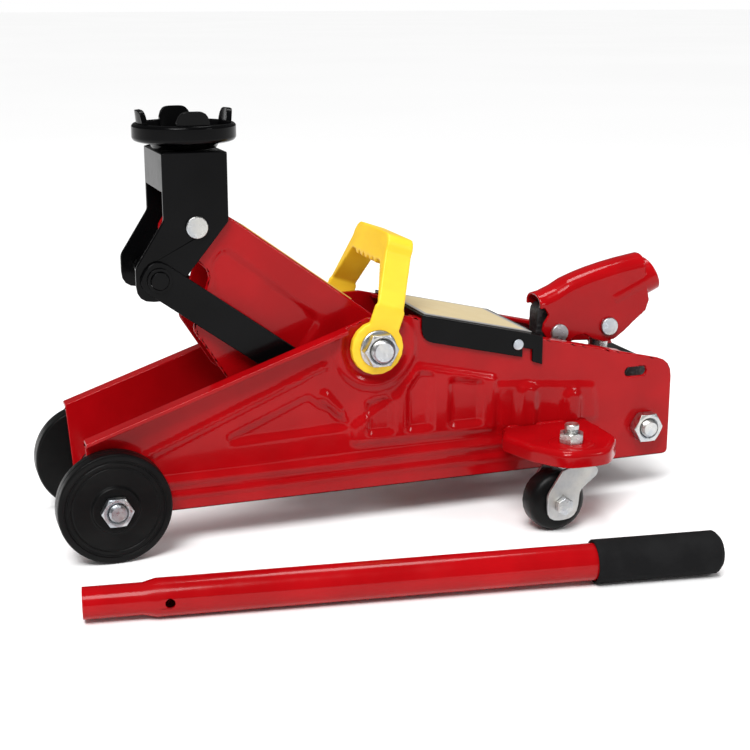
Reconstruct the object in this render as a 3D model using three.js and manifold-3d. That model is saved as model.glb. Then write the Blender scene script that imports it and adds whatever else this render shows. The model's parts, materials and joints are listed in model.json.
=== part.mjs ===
/**
 * Hydraulic floor jack, two-tonne class, with its loose pump handle lying beside it.
 *
 * Millimetres, +Z up. The jack is laid out from the front axle: x runs back from the axle to the
 * handle end, y is zero on the middle plane, z is zero on the floor. "left" is the -Y side.
 * The arm is modelled raised. The last lines shift everything so that the origin is the middle of
 * the whole model's footprint.
 */
import * as THREE from 'three';
import { mergeVertices } from 'three/addons/utils/BufferGeometryUtils.js';
import Module from 'manifold-3d';

const wasm = await Module();
wasm.setup();

// ---------------------------------------------------------------- driving dimensions
const GAP = 0.3; // running clearance between two pieces that touch
const DEG = Math.PI / 180;

// Frame: two pressed side plates
const FRAME_LENGTH = 440;
const FRONT_OVERHANG = 15.8; // plate ahead of the front axle
const FRAME_HALF_WIDTH = 47; // middle plane to the plates' outer faces
const PLATE_WALL = 3;
const FLOOR_CLEARANCE = 26; // under the plates
const NOSE_OVER_WHEEL = 5.7; // top of the nose above the top of the front wheels
const CREST_HEIGHT = 123.5; // plate height at the arm shaft
const CREST_BEFORE_SHAFT = 5.5;
const CREST_BEHIND_SHAFT = 21;
const TAIL_HEIGHT = 73.3;
const OUTER_FLANGE = 9;
const INNER_FLANGE = 7;
const SLOT_LENGTH = 18;
const SLOT_RADIUS = 3.6;
const SLOT_FROM_REAR = 30.4;
const SLOT_HEIGHT = 67; // above the plates' lower edge

// Front wheels
const WHEEL_RADIUS = 38;
const WHEEL_WIDTH = 15.5;
const WHEEL_TO_PLATE = 2.8;
const AXLE_RADIUS = 6;
const WHEEL_HUB_PROUD = 1.6;

// Arm shaft, lift arm
const SHAFT_X = 187;
const SHAFT_Z = 129;
const SHAFT_RADIUS = 8;
const ARM_LENGTH = 147.9;
const ARM_RAISED = 36.1 * DEG;
const ARM_HALF_WIDTH = 25;
const ARM_WALL = 3;
const ARM_RISE = 18; // shaft line to the arm's top face
const ARM_NOSE = 10; // past the saddle pin
const ARM_DEPTH = 75; // shaft line to the deepest corner
const HUB_RADIUS = 13;
const RAM_LEVER = 48;
const RAM_SWING = 30 * DEG; // lever swings this far each side of straight down
const RAM_PIN_RADIUS = 6;
const LEVER_LOBE = 13;

// Saddle bracket and levelling links
const SADDLE_PIN_RADIUS = 5.5;
const BRACKET_WALL = 3;
const LINK_BACK = -26.7; // link pin from the saddle pin
const LINK_DROP = -33.6;
const LINK_PIN_RADIUS = 6;
const LINK_WALL = 3;
const LINK_HALF_HEIGHT = 11.6;
const BRACKET_LOBE = 15;
const BRACKET_LENGTH = 44;
const BRACKET_RISE = 49.5; // saddle pin to the bracket's top face
const BRACKET_FRONT_DEPTH = 26;
const SNAP_RING_WALL = 1.4;
const SADDLE_RADIUS = 35;
const SADDLE_HEIGHT = 17;
const SADDLE_LUG = 9;
const SADDLE_STEM_RADIUS = 7;

// Hydraulic unit
const CYLINDER_CLEARANCE = 7; // lever lobe to the cylinder cap, arm down
const RESERVOIR_RADIUS = 24;
const RESERVOIR_WALL = 2.5;
const CYLINDER_RADIUS = 19;
const BORE_RADIUS = 14;
const RAM_RADIUS = 9;
const BLOCK_LENGTH = 84;
const BLOCK_FROM_REAR = 10;
const BLOCK_HALF_WIDTH = 27;
const BLOCK_TOP = 97;
const PIVOT_BEHIND_BLOCK_FRONT = 15.5;
const PIVOT_HEIGHT = 119;
const PUMP_REACH = 42; // pivot pin to push pin
const PUSH_PIN_RISE = 2;
const PUMP_PIN_RADIUS = 6;
const PLUNGER_RADIUS = 7;
const TIE_RADIUS = 6.5;
const TIE_FROM_REAR = 22.2;
const TIE_HEIGHT = 24.5; // above the plates' lower edge

// Handle socket
const SOCKET_HALF_WIDTH = 13;
const SOCKET_WALL = 2.2;
const SOCKET_RADIUS = 13.6;
const SOCKET_TILT = 24 * DEG;
const MOUTH_BEHIND_PIVOT = 83;
const MOUTH_ABOVE_PIVOT = 38.5;
const SOCKET_TUBE = 44;
const LUG_HALF_WIDTH = 7;

// Casters
const CASTER_FROM_REAR = 109.5;
const CASTER_OUT = 52; // plate to swivel axis
const EAR_TOP = 61;
const EAR_WALL = 3;
const EAR_SKIRT = 12;
const EAR_HALF_LENGTH = 39;
const EAR_TIP = 22.5; // past the swivel axis
const STUD_RADIUS = 5;
const CASTER_RADIUS = 21.5;
const CASTER_WIDTH = 22;
const CASTER_TRAIL = 13;
const CASTER_TURN = 181 * DEG; // way the wheel trails from the swivel axis
const FORK_WALL = 2.5;
const FORK_EYE = 11.5; // axle to the end of each cheek
const FORK_HALF_WIDTH = 14.6;
const CASTER_AXLE_RADIUS = 4;

// Cover and carry handle
const COVER_WALL = 2;
const COVER_SKIRT = 18;
const COVER_BEHIND_SHAFT = 34;
const COVER_LENGTH = 94;
const EYE_RADIUS = 19;
const EYE_WALL = 6;
const CARRY_REACH = 77; // shaft to the top of the grip
const CARRY_TILT = 19 * DEG;
const CARRY_HALF_WIDTH = 36;
const CARRY_NECK = 30; // shaft to where the legs lean inward
const CARRY_SHOULDER = 66;
const CARRY_BAR_DEPTH = 20;
const LEG_WIDTH = 20;

// Loose pump handle
const HANDLE_LENGTH = 407;
const HANDLE_RADIUS = 12;
const HANDLE_WALL = 1.6;
const SWAGE_RADIUS = 10;
const SWAGE_LENGTH = 36;
const GRIP_RADIUS = 14.2;
const GRIP_LENGTH = 86;
const HANDLE_START = { x: -35.8, y: -148.6 };
const HANDLE_YAW = -8.8 * DEG;

// ---------------------------------------------------------------- finishes
const RED = { color: 0xc01020, roughness: 0.28, metalness: 0 };
const BLACK = { color: 0x141414, roughness: 0.35, metalness: 0 };
const CAST = { color: 0x1b1b1c, roughness: 0.8, metalness: 0 };
const RUBBER = { color: 0x161617, roughness: 0.55, metalness: 0 };
const ZINC = { color: 0xb9bcc0, roughness: 0.32, metalness: 1 };
const STEEL = { color: 0x8f9296, roughness: 0.3, metalness: 1 };
const YELLOW = { color: 0xf6c90e, roughness: 0.45, metalness: 0 };
const LABEL = { color: 0xe9d49a, roughness: 0.5, metalness: 0 };
const FOAM = { color: 0x17181b, roughness: 0.85, metalness: 0 };

const jack = new THREE.Group();
const SIDES = [['left', -1], ['right', 1]];

/** Add one named piece. */
function piece(name, geometry, finish) {
  const mesh = new THREE.Mesh(geometry, new THREE.MeshStandardMaterial(finish));
  mesh.name = name;
  jack.add(mesh);
  return mesh;
}

// ---------------------------------------------------------------- solids
/** A closed geometry as a solid that can be joined and cut. */
function toSolid(geometry) {
  const bare = geometry.clone();
  bare.deleteAttribute('normal');
  bare.deleteAttribute('uv');
  const welded = mergeVertices(bare, 1e-4);
  const corners = welded.index.array;
  const kept = [];
  for (let i = 0; i < corners.length; i += 3) {
    const [a, b, c] = corners.subarray(i, i + 3);
    if (a !== b && b !== c && c !== a) kept.push(a, b, c);
  }
  return new wasm.Manifold(new wasm.Mesh({
    numProp: 3,
    vertProperties: Float32Array.from(welded.attributes.position.array),
    triVerts: Uint32Array.from(kept),
  }));
}

/** The solid's surface as a geometry. */
function toGeometry(solid) {
  const mesh = solid.getMesh();
  const geometry = new THREE.BufferGeometry();
  geometry.setAttribute('position', new THREE.BufferAttribute(mesh.vertProperties, 3));
  geometry.setIndex(new THREE.BufferAttribute(mesh.triVerts, 1));
  geometry.computeVertexNormals();
  return geometry;
}

/** Join the first geometry with the rest. */
function joined(first, ...others) {
  return toGeometry(others.reduce((whole, next) => whole.add(toSolid(next)), toSolid(first)));
}

/** Cut the later geometries out of the first. */
function cut(first, ...tools) {
  return toGeometry(tools.reduce((whole, tool) => whole.subtract(toSolid(tool)), toSolid(first)));
}

/** Closed outline through corners [x, y, radius]; a radius rounds its corner. */
function outline(corners) {
  const shape = new THREE.Shape();
  const corner = (i) => new THREE.Vector2(...corners.at(i % corners.length).slice(0, 2));
  corners.forEach(([, , radius = 0], i) => {
    const here = corner(i);
    const back = corner(i - 1).sub(here);
    const on = corner(i + 1).sub(here);
    const half = Math.acos(back.dot(on) / (back.length() * on.length())) / 2;
    const reach = Math.min(radius / Math.tan(half), back.length() * 0.49, on.length() * 0.49);
    const entry = here.clone().addScaledVector(back.normalize(), reach);
    const exit = here.clone().addScaledVector(on.normalize(), reach);
    if (i === 0) shape.moveTo(entry.x, entry.y);
    else shape.lineTo(entry.x, entry.y);
    if (reach > 0) shape.quadraticCurveTo(here.x, here.y, exit.x, exit.y);
  });
  shape.closePath();
  return shape;
}

/** Points round an arc, its first and last included. */
function arcPoints(x, y, radius, from, to, steps) {
  return Array.from({ length: steps + 1 }, (_, i) => {
    const angle = from + ((to - from) * i) / steps;
    return new THREE.Vector2(x + radius * Math.cos(angle), y + radius * Math.sin(angle));
  });
}

/** Points round a whole circle, each one once. */
function circlePoints(x, y, radius) {
  const steps = radius < 6 ? 10 : 18;
  return arcPoints(x, y, radius, 0, 2 * Math.PI, steps).slice(0, -1);
}

/** Put round holes [x, y, radius] in an outline. */
function drilled(shape, ...holes) {
  for (const [x, y, radius] of holes) {
    shape.holes.push(new THREE.Path().setFromPoints(circlePoints(x, y, radius)));
  }
  return shape;
}

/** A washer-shaped outline, or a disc. */
function ring(x, y, outer, inner = 0) {
  const shape = new THREE.Shape().setFromPoints(circlePoints(x, y, outer));
  return inner > 0 ? drilled(shape, [x, y, inner]) : shape;
}

/** A hexagon with a round hole, by its width across the flats. */
function hexagon(x, y, flats, inner) {
  const radius = flats / Math.sqrt(3);
  const corners = [];
  for (let i = 0; i < 6; i += 1) {
    corners.push([x + radius * Math.cos(i * 60 * DEG), y + radius * Math.sin(i * 60 * DEG), 0]);
  }
  return drilled(outline(corners), [x, y, inner]);
}

/** Sweep an outline drawn in x and z from one y to another, in either order. */
function acrossY(shape, from, to, curveSegments = 4) {
  const depth = Math.abs(to - from);
  const geometry = new THREE.ExtrudeGeometry(shape, { depth, bevelEnabled: false, curveSegments });
  return geometry.rotateX(Math.PI / 2).translate(0, Math.max(from, to), 0);
}

/** Sweep an outline drawn in x and y from one z up to another. */
function upZ(shape, from, to, curveSegments = 4) {
  const depth = to - from;
  const geometry = new THREE.ExtrudeGeometry(shape, { depth, bevelEnabled: false, curveSegments });
  return geometry.translate(0, 0, from);
}

/** Sweep an outline drawn in y and z from one x back to another. */
function alongX(shape, from, to, curveSegments = 4) {
  const depth = to - from;
  const geometry = new THREE.ExtrudeGeometry(shape, { depth, bevelEnabled: false, curveSegments });
  return geometry.rotateX(Math.PI / 2).rotateZ(Math.PI / 2).translate(from, 0, 0);
}

/** A block between two corners. */
function block([x0, y0, z0], [x1, y1, z1]) {
  const geometry = new THREE.BoxGeometry(Math.abs(x1 - x0), Math.abs(y1 - y0), Math.abs(z1 - z0));
  return geometry.translate((x0 + x1) / 2, (y0 + y1) / 2, (z0 + z1) / 2);
}

/** A round bar along y. */
function rodY(radius, x, z, from, to, segments = 18) {
  const geometry = new THREE.CylinderGeometry(radius, radius, Math.abs(to - from), segments);
  return geometry.translate(x, (from + to) / 2, z);
}

/** A straight strip of sheet between two points in x and z, hanging `thick` below its top line. */
function strip([x0, z0], [x1, z1], thick) {
  return outline([[x0, z0], [x1, z1], [x1, z1 - thick], [x0, z0 - thick]]);
}

/** Turn a closed profile of [radius, height] round the y axis. */
function turned(profile, segments = 32) {
  return new THREE.LatheGeometry(profile.map(([r, h]) => new THREE.Vector2(r, h)), segments);
}

// ---------------------------------------------------------------- places that follow
const REAR_X = FRAME_LENGTH - FRONT_OVERHANG;
const FRAME_INNER = FRAME_HALF_WIDTH - PLATE_WALL;
const NOSE_TOP = 2 * WHEEL_RADIUS + NOSE_OVER_WHEEL;
const CREST_Z = FLOOR_CLEARANCE + CREST_HEIGHT;
const TAIL_TOP = FLOOR_CLEARANCE + TAIL_HEIGHT;
const CREST_FRONT = SHAFT_X - CREST_BEFORE_SHAFT;
const CREST_REAR = SHAFT_X + CREST_BEHIND_SHAFT;
const TAIL_SLOPE = (TAIL_TOP - CREST_Z) / (REAR_X - CREST_REAR);
const TIE_X = REAR_X - TIE_FROM_REAR;
const TIE_Z = FLOOR_CLEARANCE + TIE_HEIGHT;
const tailTop = (x) => CREST_Z + TAIL_SLOPE * (x - CREST_REAR);

const SADDLE_PIN_X = SHAFT_X - ARM_LENGTH * Math.cos(ARM_RAISED);
const SADDLE_PIN_Z = SHAFT_Z + ARM_LENGTH * Math.sin(ARM_RAISED);
const LINK_PIN_X = SADDLE_PIN_X + LINK_BACK;
const LINK_PIN_Z = SADDLE_PIN_Z + LINK_DROP;
const ANCHOR_X = SHAFT_X + LINK_BACK;
const ANCHOR_Z = SHAFT_Z + LINK_DROP;
const BRACKET_INNER = ARM_HALF_WIDTH + 2;
const BRACKET_OUTER = BRACKET_INNER + BRACKET_WALL;
const LINK_INNER = BRACKET_OUTER + GAP;
const LINK_OUTER = LINK_INNER + LINK_WALL;

const RAM_PIN_X = SHAFT_X - RAM_LEVER * Math.sin(RAM_SWING);
const RAM_PIN_Z = SHAFT_Z - RAM_LEVER * Math.cos(RAM_SWING);
const RAM_Z = SHAFT_Z - RAM_LEVER * (1 + Math.cos(RAM_SWING)) / 2;
const CYLINDER_FRONT = SHAFT_X + RAM_LEVER * Math.sin(RAM_SWING) + LEVER_LOBE + CYLINDER_CLEARANCE;
const BLOCK_REAR = REAR_X - BLOCK_FROM_REAR;
const BLOCK_FRONT = BLOCK_REAR - BLOCK_LENGTH;
const PIVOT_X = BLOCK_FRONT + PIVOT_BEHIND_BLOCK_FRONT;
const PUSH_X = PIVOT_X + PUMP_REACH;
const PUSH_Z = PIVOT_HEIGHT + PUSH_PIN_RISE;

/** The arm's own axes: u runs from the shaft to the saddle pin, v points up out of its top face. */
function onArm(u, v) {
  return [
    SHAFT_X - u * Math.cos(ARM_RAISED) + v * Math.sin(ARM_RAISED),
    SHAFT_Z + u * Math.sin(ARM_RAISED) + v * Math.cos(ARM_RAISED),
  ];
}

/** A nut on a bar along y, its inner face at `face` and its bar ending a little past it. */
function nutY(name, x, z, face, sign, { flats, height, bar }) {
  piece(name, acrossY(hexagon(x, z, flats, bar + GAP), sign * face, sign * (face + height)), ZINC);
}

// ---------------------------------------------------------------- frame
function sidePlate(side, sign) {
  const nose = -FRONT_OVERHANG;
  const web = drilled(
    outline([
      [nose, NOSE_TOP, 4],
      [CREST_FRONT, CREST_Z, 14],
      [CREST_REAR, CREST_Z, 14],
      [REAR_X, TAIL_TOP, 16],
      [REAR_X, FLOOR_CLEARANCE, 4],
      [nose + 4, FLOOR_CLEARANCE, 10],
    ]),
    [0, WHEEL_RADIUS, AXLE_RADIUS + GAP],
    [SHAFT_X, SHAFT_Z, SHAFT_RADIUS + GAP],
    [TIE_X, TIE_Z, TIE_RADIUS + GAP],
  );
  const slotX = REAR_X - SLOT_FROM_REAR;
  const slotZ = FLOOR_CLEARANCE + SLOT_HEIGHT;
  const reach = SLOT_LENGTH / 2 - SLOT_RADIUS;
  const slot = new THREE.Path().setFromPoints([
    ...arcPoints(slotX + reach, slotZ, SLOT_RADIUS, -Math.PI / 2, Math.PI / 2, 8),
    ...arcPoints(slotX - reach, slotZ, SLOT_RADIUS, Math.PI / 2, 1.5 * Math.PI, 8),
  ]);
  web.holes.push(slot);

  const noseTop = (x) => NOSE_TOP + ((CREST_Z - NOSE_TOP) * (x - nose)) / (CREST_FRONT - nose);
  const flangeEnd = SHAFT_X - EYE_RADIUS - 3;
  const noseFlange = strip([nose, NOSE_TOP], [flangeEnd, noseTop(flangeEnd)], PLATE_WALL);
  const tailFlangeFront = SHAFT_X + COVER_BEHIND_SHAFT - 6;
  const tailFlangeRear = REAR_X - 42;
  const tailFlange = strip(
    [tailFlangeFront, tailTop(tailFlangeFront)],
    [tailFlangeRear, tailTop(tailFlangeRear)],
    PLATE_WALL,
  );
  const inner = sign * FRAME_INNER;
  piece(`side_plate_${side}`, joined(
    acrossY(web, inner, sign * FRAME_HALF_WIDTH),
    acrossY(noseFlange, inner, sign * (FRAME_HALF_WIDTH + OUTER_FLANGE)),
    acrossY(tailFlange, sign * (FRAME_INNER - INNER_FLANGE), sign * FRAME_HALF_WIDTH),
  ), RED);

  piece(
    `link_anchor_${side}`,
    rodY(LINK_PIN_RADIUS, ANCHOR_X, ANCHOR_Z, sign * (LINK_INNER - GAP), sign * (FRAME_INNER - GAP)),
    STEEL,
  );
}

function frameFasteners() {
  const wheelOuter = FRAME_HALF_WIDTH + WHEEL_TO_PLATE + WHEEL_WIDTH + WHEEL_HUB_PROUD;
  const axleNut = { flats: 19, height: 6, bar: AXLE_RADIUS };
  const shaftNut = { flats: 22, height: 9, bar: SHAFT_RADIUS };
  const tieNut = { flats: 21, height: 9, bar: TIE_RADIUS };
  const eyeOuter = FRAME_HALF_WIDTH + GAP + EYE_WALL;
  const axleEnd = wheelOuter + axleNut.height + 2.5;
  const shaftEnd = eyeOuter + shaftNut.height + 4;
  const tieEnd = FRAME_HALF_WIDTH + tieNut.height + 3;
  piece('front_axle', rodY(AXLE_RADIUS, 0, WHEEL_RADIUS, -axleEnd, axleEnd), ZINC);
  piece('main_shaft', rodY(SHAFT_RADIUS, SHAFT_X, SHAFT_Z, -shaftEnd, shaftEnd), ZINC);
  piece('tie_rod', rodY(TIE_RADIUS, TIE_X, TIE_Z, -tieEnd, tieEnd), ZINC);
  for (const [side, sign] of SIDES) {
    nutY(`front_wheel_nut_${side}`, 0, WHEEL_RADIUS, wheelOuter + GAP, sign, axleNut);
    nutY(`main_nut_${side}`, SHAFT_X, SHAFT_Z, eyeOuter + GAP, sign, shaftNut);
    nutY(`tie_nut_${side}`, TIE_X, TIE_Z, FRAME_HALF_WIDTH + GAP, sign, tieNut);
  }
}

function frontWheel(side, sign) {
  const bore = AXLE_RADIUS + GAP;
  const hub = WHEEL_WIDTH + WHEEL_HUB_PROUD;
  const profile = [
    [bore, 0],
    [WHEEL_RADIUS - 1.5, 0],
    [WHEEL_RADIUS, 1.5],
    [WHEEL_RADIUS, WHEEL_WIDTH - 1.5],
    [WHEEL_RADIUS - 1.5, WHEEL_WIDTH],
    [WHEEL_RADIUS - 6, WHEEL_WIDTH],
    [WHEEL_RADIUS - 7, WHEEL_WIDTH - 1.2],
    [16, WHEEL_WIDTH - 1.2],
    [14.5, hub],
    [bore, hub],
    [bore, 0],
  ];
  const geometry = turned(profile, 48);
  if (sign < 0) geometry.rotateX(Math.PI);
  const y = sign * (FRAME_HALF_WIDTH + WHEEL_TO_PLATE);
  piece(`front_wheel_${side}`, geometry.translate(0, y, WHEEL_RADIUS), RUBBER);
}

// ---------------------------------------------------------------- lift arm
function liftArm() {
  const noseU = ARM_LENGTH + ARM_NOSE;
  const belly = ARM_LENGTH * 0.74;
  const [leverU, leverV] = [
    (SHAFT_X - RAM_PIN_X) * Math.cos(ARM_RAISED) - (SHAFT_Z - RAM_PIN_Z) * Math.sin(ARM_RAISED),
    -(SHAFT_X - RAM_PIN_X) * Math.sin(ARM_RAISED) - (SHAFT_Z - RAM_PIN_Z) * Math.cos(ARM_RAISED),
  ];
  const side = [
    [-ARM_RISE, ARM_RISE, 8],
    [noseU, ARM_RISE, 4],
    [noseU, -ARM_RISE + 1, 8],
    [belly + 12, -ARM_RISE - 2, 10],
    [belly, -ARM_DEPTH + 16, 6],
    [ARM_LENGTH * 0.47, -ARM_DEPTH, 8],
    [leverU + LEVER_LOBE + 6, -ARM_DEPTH, 10],
    [leverU - LEVER_LOBE, leverV - LEVER_LOBE, 10],
    [-ARM_RISE, leverV + LEVER_LOBE, 10],
  ];
  const cheek = drilled(
    outline(side.map(([u, v, radius]) => [...onArm(u, v), radius])),
    [SHAFT_X, SHAFT_Z, HUB_RADIUS - GAP],
    [SADDLE_PIN_X, SADDLE_PIN_Z, SADDLE_PIN_RADIUS + GAP],
    [RAM_PIN_X, RAM_PIN_Z, RAM_PIN_RADIUS + GAP],
  );
  const top = outline([
    onArm(-2, ARM_RISE),
    onArm(noseU - 4, ARM_RISE),
    onArm(noseU - 4, ARM_RISE - ARM_WALL),
    onArm(-2, ARM_RISE - ARM_WALL),
  ]);
  const inner = ARM_HALF_WIDTH - ARM_WALL;
  const hub = ring(SHAFT_X, SHAFT_Z, HUB_RADIUS, SHAFT_RADIUS + GAP);
  piece('lift_arm', joined(
    acrossY(cheek, -ARM_HALF_WIDTH, -inner),
    acrossY(cheek, inner, ARM_HALF_WIDTH),
    acrossY(top, -ARM_HALF_WIDTH, ARM_HALF_WIDTH),
    acrossY(hub, -FRAME_INNER + GAP, FRAME_INNER - GAP, 10),
  ), RED);

  const labelFrom = ARM_LENGTH * 0.16;
  const labelTo = ARM_LENGTH * 0.8;
  const film = outline([
    onArm(labelFrom, ARM_RISE + GAP),
    onArm(labelTo, ARM_RISE + GAP),
    onArm(labelTo, ARM_RISE + GAP + 0.6),
    onArm(labelFrom, ARM_RISE + GAP + 0.6),
  ]);
  piece('arm_label', acrossY(film, -ARM_HALF_WIDTH + 5, ARM_HALF_WIDTH - 5), LABEL);
  piece(
    'ram_pin',
    rodY(RAM_PIN_RADIUS, RAM_PIN_X, RAM_PIN_Z, -ARM_HALF_WIDTH - 2, ARM_HALF_WIDTH + 2),
    STEEL,
  );
}

// ---------------------------------------------------------------- saddle bracket, saddle, links
function saddleBracket() {
  const front = SADDLE_PIN_X - BRACKET_LENGTH / 2;
  const rear = SADDLE_PIN_X + BRACKET_LENGTH / 2;
  const top = SADDLE_PIN_Z + BRACKET_RISE;
  const cheek = drilled(
    outline([
      [front, top, 3],
      [rear, top, 4],
      [rear, SADDLE_PIN_Z + 3, 3],
      [LINK_PIN_X + 17, LINK_PIN_Z - 2, 6],
      [LINK_PIN_X + 8, LINK_PIN_Z - BRACKET_LOBE, 14],
      [LINK_PIN_X - BRACKET_LOBE, LINK_PIN_Z - BRACKET_LOBE, 14],
      [LINK_PIN_X - BRACKET_LOBE, LINK_PIN_Z + 8, 8],
      [front, SADDLE_PIN_Z + 5, 6],
    ]),
    [SADDLE_PIN_X, SADDLE_PIN_Z, SADDLE_PIN_RADIUS + GAP],
    [LINK_PIN_X, LINK_PIN_Z, LINK_PIN_RADIUS + GAP],
  );
  const stemHole = SADDLE_STEM_RADIUS + GAP;
  const roof = drilled(
    outline([
      [front, -BRACKET_OUTER, 0],
      [rear, -BRACKET_OUTER, 0],
      [rear, BRACKET_OUTER, 0],
      [front, BRACKET_OUTER, 0],
    ]),
    [SADDLE_PIN_X, 0, stemHole],
  );
  piece('saddle_bracket', joined(
    acrossY(cheek, -BRACKET_OUTER, -BRACKET_INNER),
    acrossY(cheek, BRACKET_INNER, BRACKET_OUTER),
    upZ(roof, top - BRACKET_WALL - 1, top - 0.5),
    block(
      [front, -BRACKET_OUTER + 1, top - BRACKET_FRONT_DEPTH],
      [front + BRACKET_WALL, BRACKET_OUTER - 1, top - 1],
    ),
  ), BLACK);

  const pinHead = BRACKET_OUTER + 2.5;
  const saddlePin = joined(
    rodY(SADDLE_PIN_RADIUS, SADDLE_PIN_X, SADDLE_PIN_Z, -pinHead + 1, BRACKET_OUTER + 2),
    rodY(SADDLE_PIN_RADIUS + 2, SADDLE_PIN_X, SADDLE_PIN_Z, -pinHead, -BRACKET_OUTER - GAP),
  );
  piece('saddle_pin', saddlePin, ZINC);

  const ringInner = LINK_OUTER + GAP;
  const pinEnd = ringInner + SNAP_RING_WALL + 1.2;
  piece('link_pin', rodY(LINK_PIN_RADIUS, LINK_PIN_X, LINK_PIN_Z, -pinEnd, pinEnd), BLACK);
  for (const [side, sign] of SIDES) {
    const clip = ring(LINK_PIN_X, LINK_PIN_Z, LINK_PIN_RADIUS + 2.4, LINK_PIN_RADIUS + GAP);
    piece(
      `snap_ring_${side}`,
      acrossY(clip, sign * ringInner, sign * (ringInner + SNAP_RING_WALL)),
      STEEL,
    );
  }

  const stem = BRACKET_WALL + 9;
  const rim = SADDLE_RADIUS;
  const dish = turned([
    [0, -stem],
    [SADDLE_STEM_RADIUS, -stem],
    [SADDLE_STEM_RADIUS, GAP],
    [rim * 0.63, GAP],
    [rim * 0.66, 4],
    [rim - 3, 5],
    [rim, 7.5],
    [rim, SADDLE_HEIGHT - 1],
    [rim - 1, SADDLE_HEIGHT],
    [rim - 3, SADDLE_HEIGHT],
    [rim - 4, SADDLE_HEIGHT - 5],
    [rim - 8, SADDLE_HEIGHT - 6],
    [0, SADDLE_HEIGHT - 6],
  ], 36).rotateX(Math.PI / 2);
  const lugs = [0, 90, 180, 270].map((angle) => {
    const lug = block([rim - 8, -10.5, SADDLE_HEIGHT - 8], [rim - 4, 10.5, SADDLE_HEIGHT + SADDLE_LUG]);
    return lug.rotateZ(angle * DEG);
  });
  piece('saddle', joined(dish, ...lugs).translate(SADDLE_PIN_X, 0, top), BLACK);
  const collarTop = top - BRACKET_WALL - 1 - GAP;
  piece(
    'saddle_retainer',
    upZ(ring(SADDLE_PIN_X, 0, SADDLE_STEM_RADIUS + 5, stemHole), collarTop - 3, collarTop),
    STEEL,
  );
}

function link(side, sign) {
  const along = (from, across) => [
    ANCHOR_X - from * Math.cos(ARM_RAISED) + across * Math.sin(ARM_RAISED),
    ANCHOR_Z + from * Math.sin(ARM_RAISED) + across * Math.cos(ARM_RAISED),
  ];
  const end = LINK_HALF_HEIGHT;
  const bar = drilled(
    outline([
      [...along(-end, end), end],
      [...along(ARM_LENGTH + end, end), end],
      [...along(ARM_LENGTH + end, -end), end],
      [...along(-end, -end), end],
    ]),
    [ANCHOR_X, ANCHOR_Z, LINK_PIN_RADIUS + GAP],
    [LINK_PIN_X, LINK_PIN_Z, LINK_PIN_RADIUS + 2 * GAP],
  );
  piece(`link_${side}`, acrossY(bar, sign * LINK_INNER, sign * LINK_OUTER), BLACK);
}

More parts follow.
